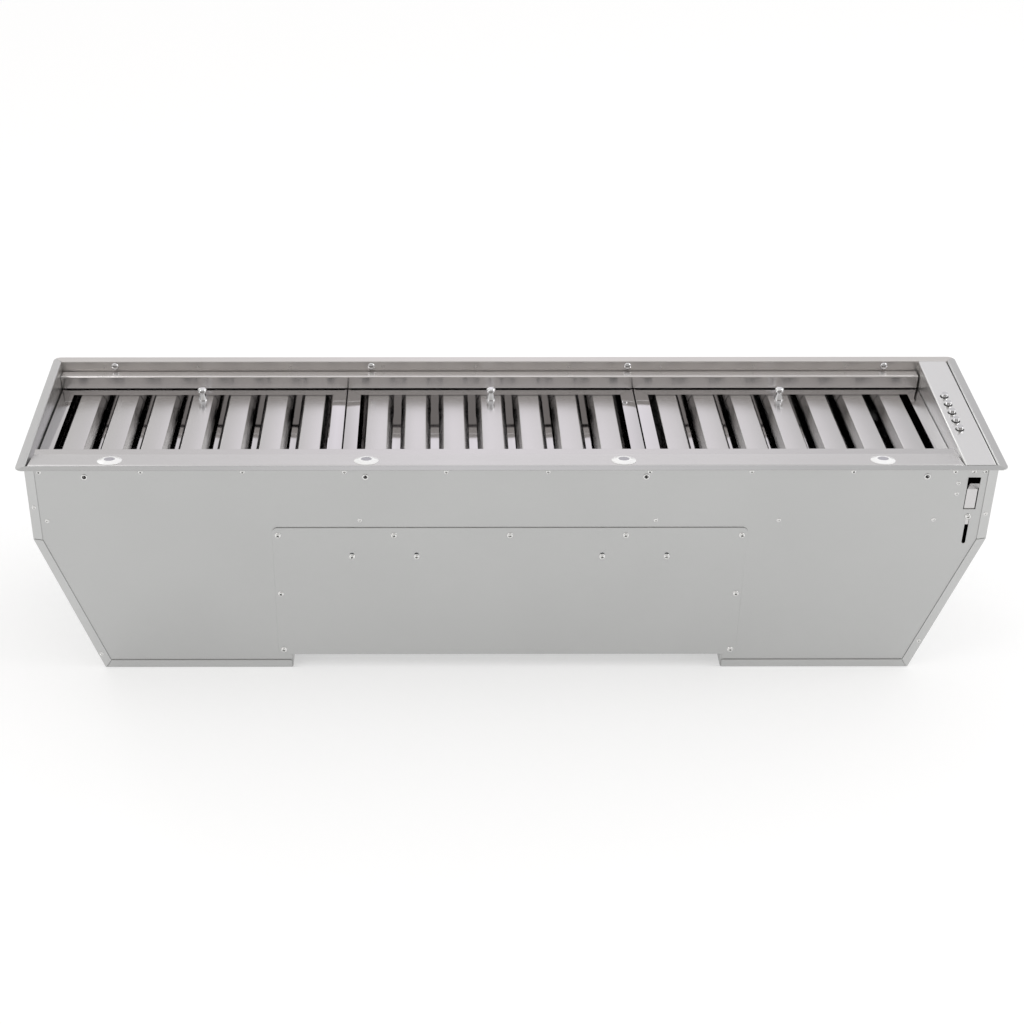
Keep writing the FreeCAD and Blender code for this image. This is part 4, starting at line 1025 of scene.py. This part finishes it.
    def channels(self) -> None:
        """Makes the lower row, with a half channel at each end and the channels' ends turned up."""
        flat = self.slat_flat / 2
        foot = flat + self.channel_spread
        floor = self.sheet + self.play
        high = floor + self.channel_rise
        line = [(-foot, high), (-flat, floor), (flat, floor), (foot, high)]
        shift = (self.slat_count - 2) / 2
        lines = [((n - shift) * self.slat_pitch, line) for n in range(self.slat_count - 1)]
        last = self.slat_count / 2 * self.slat_pitch
        edge = self.width / 2 - self.sheet - self.end_gap
        lines.append((0.0, [(last - foot, high), (last - flat, floor), (edge, floor)]))
        lines.append((0.0, [(-edge, floor), (flat - last, floor), (foot - last, high)]))
        form = Form()
        self._row(form, lines, 1, self.channel_start)
        top = self.height - self.sheet - self.play
        half_gap = self.slat_pitch / 2 - flat
        narrow = half_gap - self.slat_spread - self.tab_gap
        wide = half_gap - 2 * self.tab_gap
        side = [(narrow, floor), (narrow, top - self.slat_drop), (wide, top - self.tab_gap)]
        for number in range(self.slat_count - 1):
            middle = (number - shift) * self.slat_pitch
            left = [(middle - a, z) for a, z in side]
            right = [(middle + a, z) for a, z in side[::-1]]
            self._tabs(form, left + right)
        for hand in (1.0, -1.0):
            inner = [(hand * (last - a), z) for a, z in side]
            outer = [(hand * edge, top - self.tab_gap), (hand * edge, floor)]
            self._tabs(form, inner + outer)
        node = f"filter_channels_{self.side}"
        mesh = form.finish(node + "_floor")
        mesh.transform(self.place)
        self.dresser.piece(mesh, node + "_floor", Slot.POLISHED_CHANNEL, self.body, node)

    def knob(self) -> None:
        """Makes the turned knob: flared base, narrow neck and mushroom head."""
        base = self.height - self.sheet - self.play
        shape = self.knob_stud + self.knob_flare + self.knob_head
        points = [(radius * MM, height * MM) for radius, height in shape]
        radii = [radius * MM for radius in self.knob_rounding]
        mesh = Form().turn(rounded(points, radii, 7), 40).finish("knob")
        mesh.transform(self.place @ Matrix.Translation((0.0, self.knob_y, base)))
        node = f"filter_knob_{self.side}"
        self.dresser.piece(mesh, node + "_turned", Slot.CHROME, self.body, node)

    def build(self) -> None:
        """Makes the whole filter."""
        self.frame()
        self.baffles()
        self.channels()
        self.knob()


# ----------------------------------------------------------------------------------------------------
# Studio


@dataclass
class Studio:
    """Pale floor, soft light and the camera at the photograph's angle."""

    eye: Vector
    pitch: float
    turn: float
    focal_pixels: float
    centre_pixel: float
    picture: float = 1024.0
    sensor: float = 36.0
    floor_shade: float = 0.6
    floor_glow: float = 0.45
    floor_half: float = 6.0
    floor_slab: Point2 = (-0.02, -0.0006)
    around: tuple[tuple[float, Colour], ...] = (
        (-180.0, (0.36, 0.34, 0.32)),
        (-140.0, (0.4, 0.38, 0.36)),
        (-95.0, (0.85, 0.84, 0.82)),
        (-40.0, (0.85, 0.84, 0.82)),
        (-35.0, (2.3, 2.3, 2.3)),
        (-27.0, (2.3, 2.3, 2.3)),
        (-21.0, (0.74, 0.73, 0.71)),
        (-9.0, (0.85, 0.83, 0.84)),
        (0.0, (1.12, 1.08, 1.13)),
        (9.0, (1.0, 0.97, 1.0)),
        (18.0, (0.74, 0.73, 0.74)),
        (30.0, (0.8, 0.8, 0.8)),
        (44.0, (1.35, 1.34, 1.33)),
        (60.0, (1.1, 1.1, 1.1)),
        (95.0, (0.8, 0.8, 0.8)),
        (140.0, (0.4, 0.38, 0.36)),
        (180.0, (0.36, 0.34, 0.32)),
    )
    zenith: Colour = (0.95, 0.95, 0.95)
    plain_share: tuple[Point2, ...] = ((0.0, 0.55), (0.2, 0.45), (0.36, 0.0), (0.6, 0.0), (0.86, 1.0))
    aim: tuple[float, float, float] = (0.0, 0.0, 0.25)
    box_size: float = 1.2
    boxes: tuple[tuple[str, tuple[float, float, float], float], ...] = (
        ("right_box", (2.6, -0.2, 1.9), 16.0),
        ("left_box", (-2.4, -1.4, 2.0), 10.0),
    )

    def camera(self) -> None:
        """Places the camera."""
        data = bpy.data.cameras.new("camera")
        data.sensor_width = self.sensor
        data.lens = self.focal_pixels / self.picture * self.sensor
        data.shift_x = (self.picture / 2 - self.centre_pixel) / self.picture
        data.clip_end = 50.0
        item = bpy.data.objects.new("camera", data)
        item.location = self.eye
        item.rotation_euler = Euler((math.pi / 2 - self.pitch, 0.0, -self.turn))
        bpy.context.scene.collection.objects.link(item)
        bpy.context.scene.camera = item

    def floor(self) -> None:
        """Makes the floor, which shows white and keeps the insert's shadow."""
        form = Form()
        half = self.floor_half
        form.block((-half, -half, self.floor_slab[0]), (half, half, self.floor_slab[1]))
        item = bpy.data.objects.new("floor", form.finish("floor"))
        bpy.context.scene.collection.objects.link(item)
        maker = MaterialMaker("pale floor")
        maker.shader.inputs["Base Color"].default_value = (*(self.floor_shade,) * 3, 1.0)
        maker.shader.inputs["Roughness"].default_value = 0.9
        maker.shader.inputs["Specular IOR Level"].default_value = 0.0
        maker.shader.inputs["Emission Color"].default_value = (1.0, 1.0, 1.0, 1.0)
        path = maker.tree.nodes.new("ShaderNodeLightPath")
        seen = maker.tree.nodes.new("ShaderNodeMath")
        seen.operation = "MAXIMUM"
        glow = maker.tree.nodes.new("ShaderNodeMath")
        glow.operation = "MULTIPLY"
        glow.inputs[1].default_value = self.floor_glow
        maker.link(path.outputs["Is Camera Ray"], seen.inputs[0])
        maker.link(path.outputs["Is Glossy Ray"], seen.inputs[1])
        maker.link(seen.outputs["Value"], glow.inputs[0])
        maker.link(glow.outputs["Value"], maker.shader.inputs["Emission Strength"])
        item.data.materials.append(maker.material)

    @staticmethod
    def _ramp(tree: bpy.types.NodeTree, stops: tuple[tuple[float, Colour], ...]) -> bpy.types.Node:
        """Makes a colour ramp from positions and colours."""
        ramp = tree.nodes.new("ShaderNodeValToRGB")
        while len(ramp.color_ramp.elements) < len(stops):
            ramp.color_ramp.elements.new(0.5)
        for element, (spot, colour) in zip(ramp.color_ramp.elements, stops):
            element.position = spot
            element.color = (*colour, 1.0)
        return ramp

    def sky(self) -> None:
        """Lights the scene from all round: a bright window behind the insert, paler walls, a dimmer front."""
        world = bpy.data.worlds.new("studio")
        bpy.context.scene.world = world
        world.use_nodes = True
        tree = world.node_tree
        back = tree.nodes["Background"]
        place = tree.nodes.new("ShaderNodeTexCoord")
        split = tree.nodes.new("ShaderNodeSeparateXYZ")
        turn = tree.nodes.new("ShaderNodeMath")
        turn.operation = "ARCTAN2"
        share = tree.nodes.new("ShaderNodeMapRange")
        share.inputs["From Min"].default_value = -math.pi
        share.inputs["From Max"].default_value = math.pi
        stops = tuple((0.5 + degrees / 360.0, colour) for degrees, colour in self.around)
        around = self._ramp(tree, stops)
        height = self._ramp(tree, tuple((spot, (share,) * 3) for spot, share in self.plain_share))
        both = tree.nodes.new("ShaderNodeMix")
        both.data_type = "RGBA"
        path = tree.nodes.new("ShaderNodeLightPath")
        mix = tree.nodes.new("ShaderNodeMix")
        mix.data_type = "RGBA"
        mix.inputs[7].default_value = (1.0, 1.0, 1.0, 1.0)
        tree.links.new(place.outputs["Generated"], split.inputs["Vector"])
        tree.links.new(split.outputs["X"], turn.inputs[0])
        tree.links.new(split.outputs["Y"], turn.inputs[1])
        tree.links.new(turn.outputs["Value"], share.inputs["Value"])
        tree.links.new(share.outputs["Result"], around.inputs["Fac"])
        tree.links.new(split.outputs["Z"], height.inputs["Fac"])
        tree.links.new(height.outputs["Color"], both.inputs[0])
        tree.links.new(around.outputs["Color"], both.inputs[6])
        both.inputs[7].default_value = (*self.zenith, 1.0)
        tree.links.new(path.outputs["Is Camera Ray"], mix.inputs[0])
        tree.links.new(both.outputs[2], mix.inputs[6])
        tree.links.new(mix.outputs[2], back.inputs["Color"])

    def lamps(self) -> None:
        """Adds the soft boxes."""
        for name, spot, power in self.boxes:
            data = bpy.data.lights.new(name, "AREA")
            data.shape = "SQUARE"
            data.size = self.box_size
            data.energy = power
            item = bpy.data.objects.new(name, data)
            item.location = spot
            item.rotation_euler = (Vector(spot) - Vector(self.aim)).to_track_quat("Z", "Y").to_euler()
            item.visible_camera = False
            bpy.context.scene.collection.objects.link(item)

    def build(self) -> None:
        """Sets up the whole studio."""
        bpy.context.scene.view_settings.view_transform = "Standard"
        self.camera()
        self.floor()
        self.sky()
        self.lamps()


def main() -> None:
    """Builds the insert's looks in order."""
    logging.basicConfig(level=logging.INFO, format="%(name)s: %(message)s")
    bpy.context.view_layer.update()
    palette = Palette()
    palette.dress_solids()
    dresser = Dresser(palette)
    Casing(dresser).build()
    Fasteners(dresser).build()
    for number in range(1, 5):
        Lamp(dresser, number).build()
    for number in range(1, 6):
        PushButton(dresser, number).build()
    for side in ("left", "middle", "right"):
        BaffleFilter(dresser, side).build()
    studio = Studio(
        eye=Vector((-0.0926, -2.0316, 1.4527)),
        pitch=math.radians(32.70),
        turn=math.radians(0.095),
        focal_pixels=1872.0,
        centre_pixel=436.3,
    )
    studio.build()


if __name__ == "__main__":
    main()
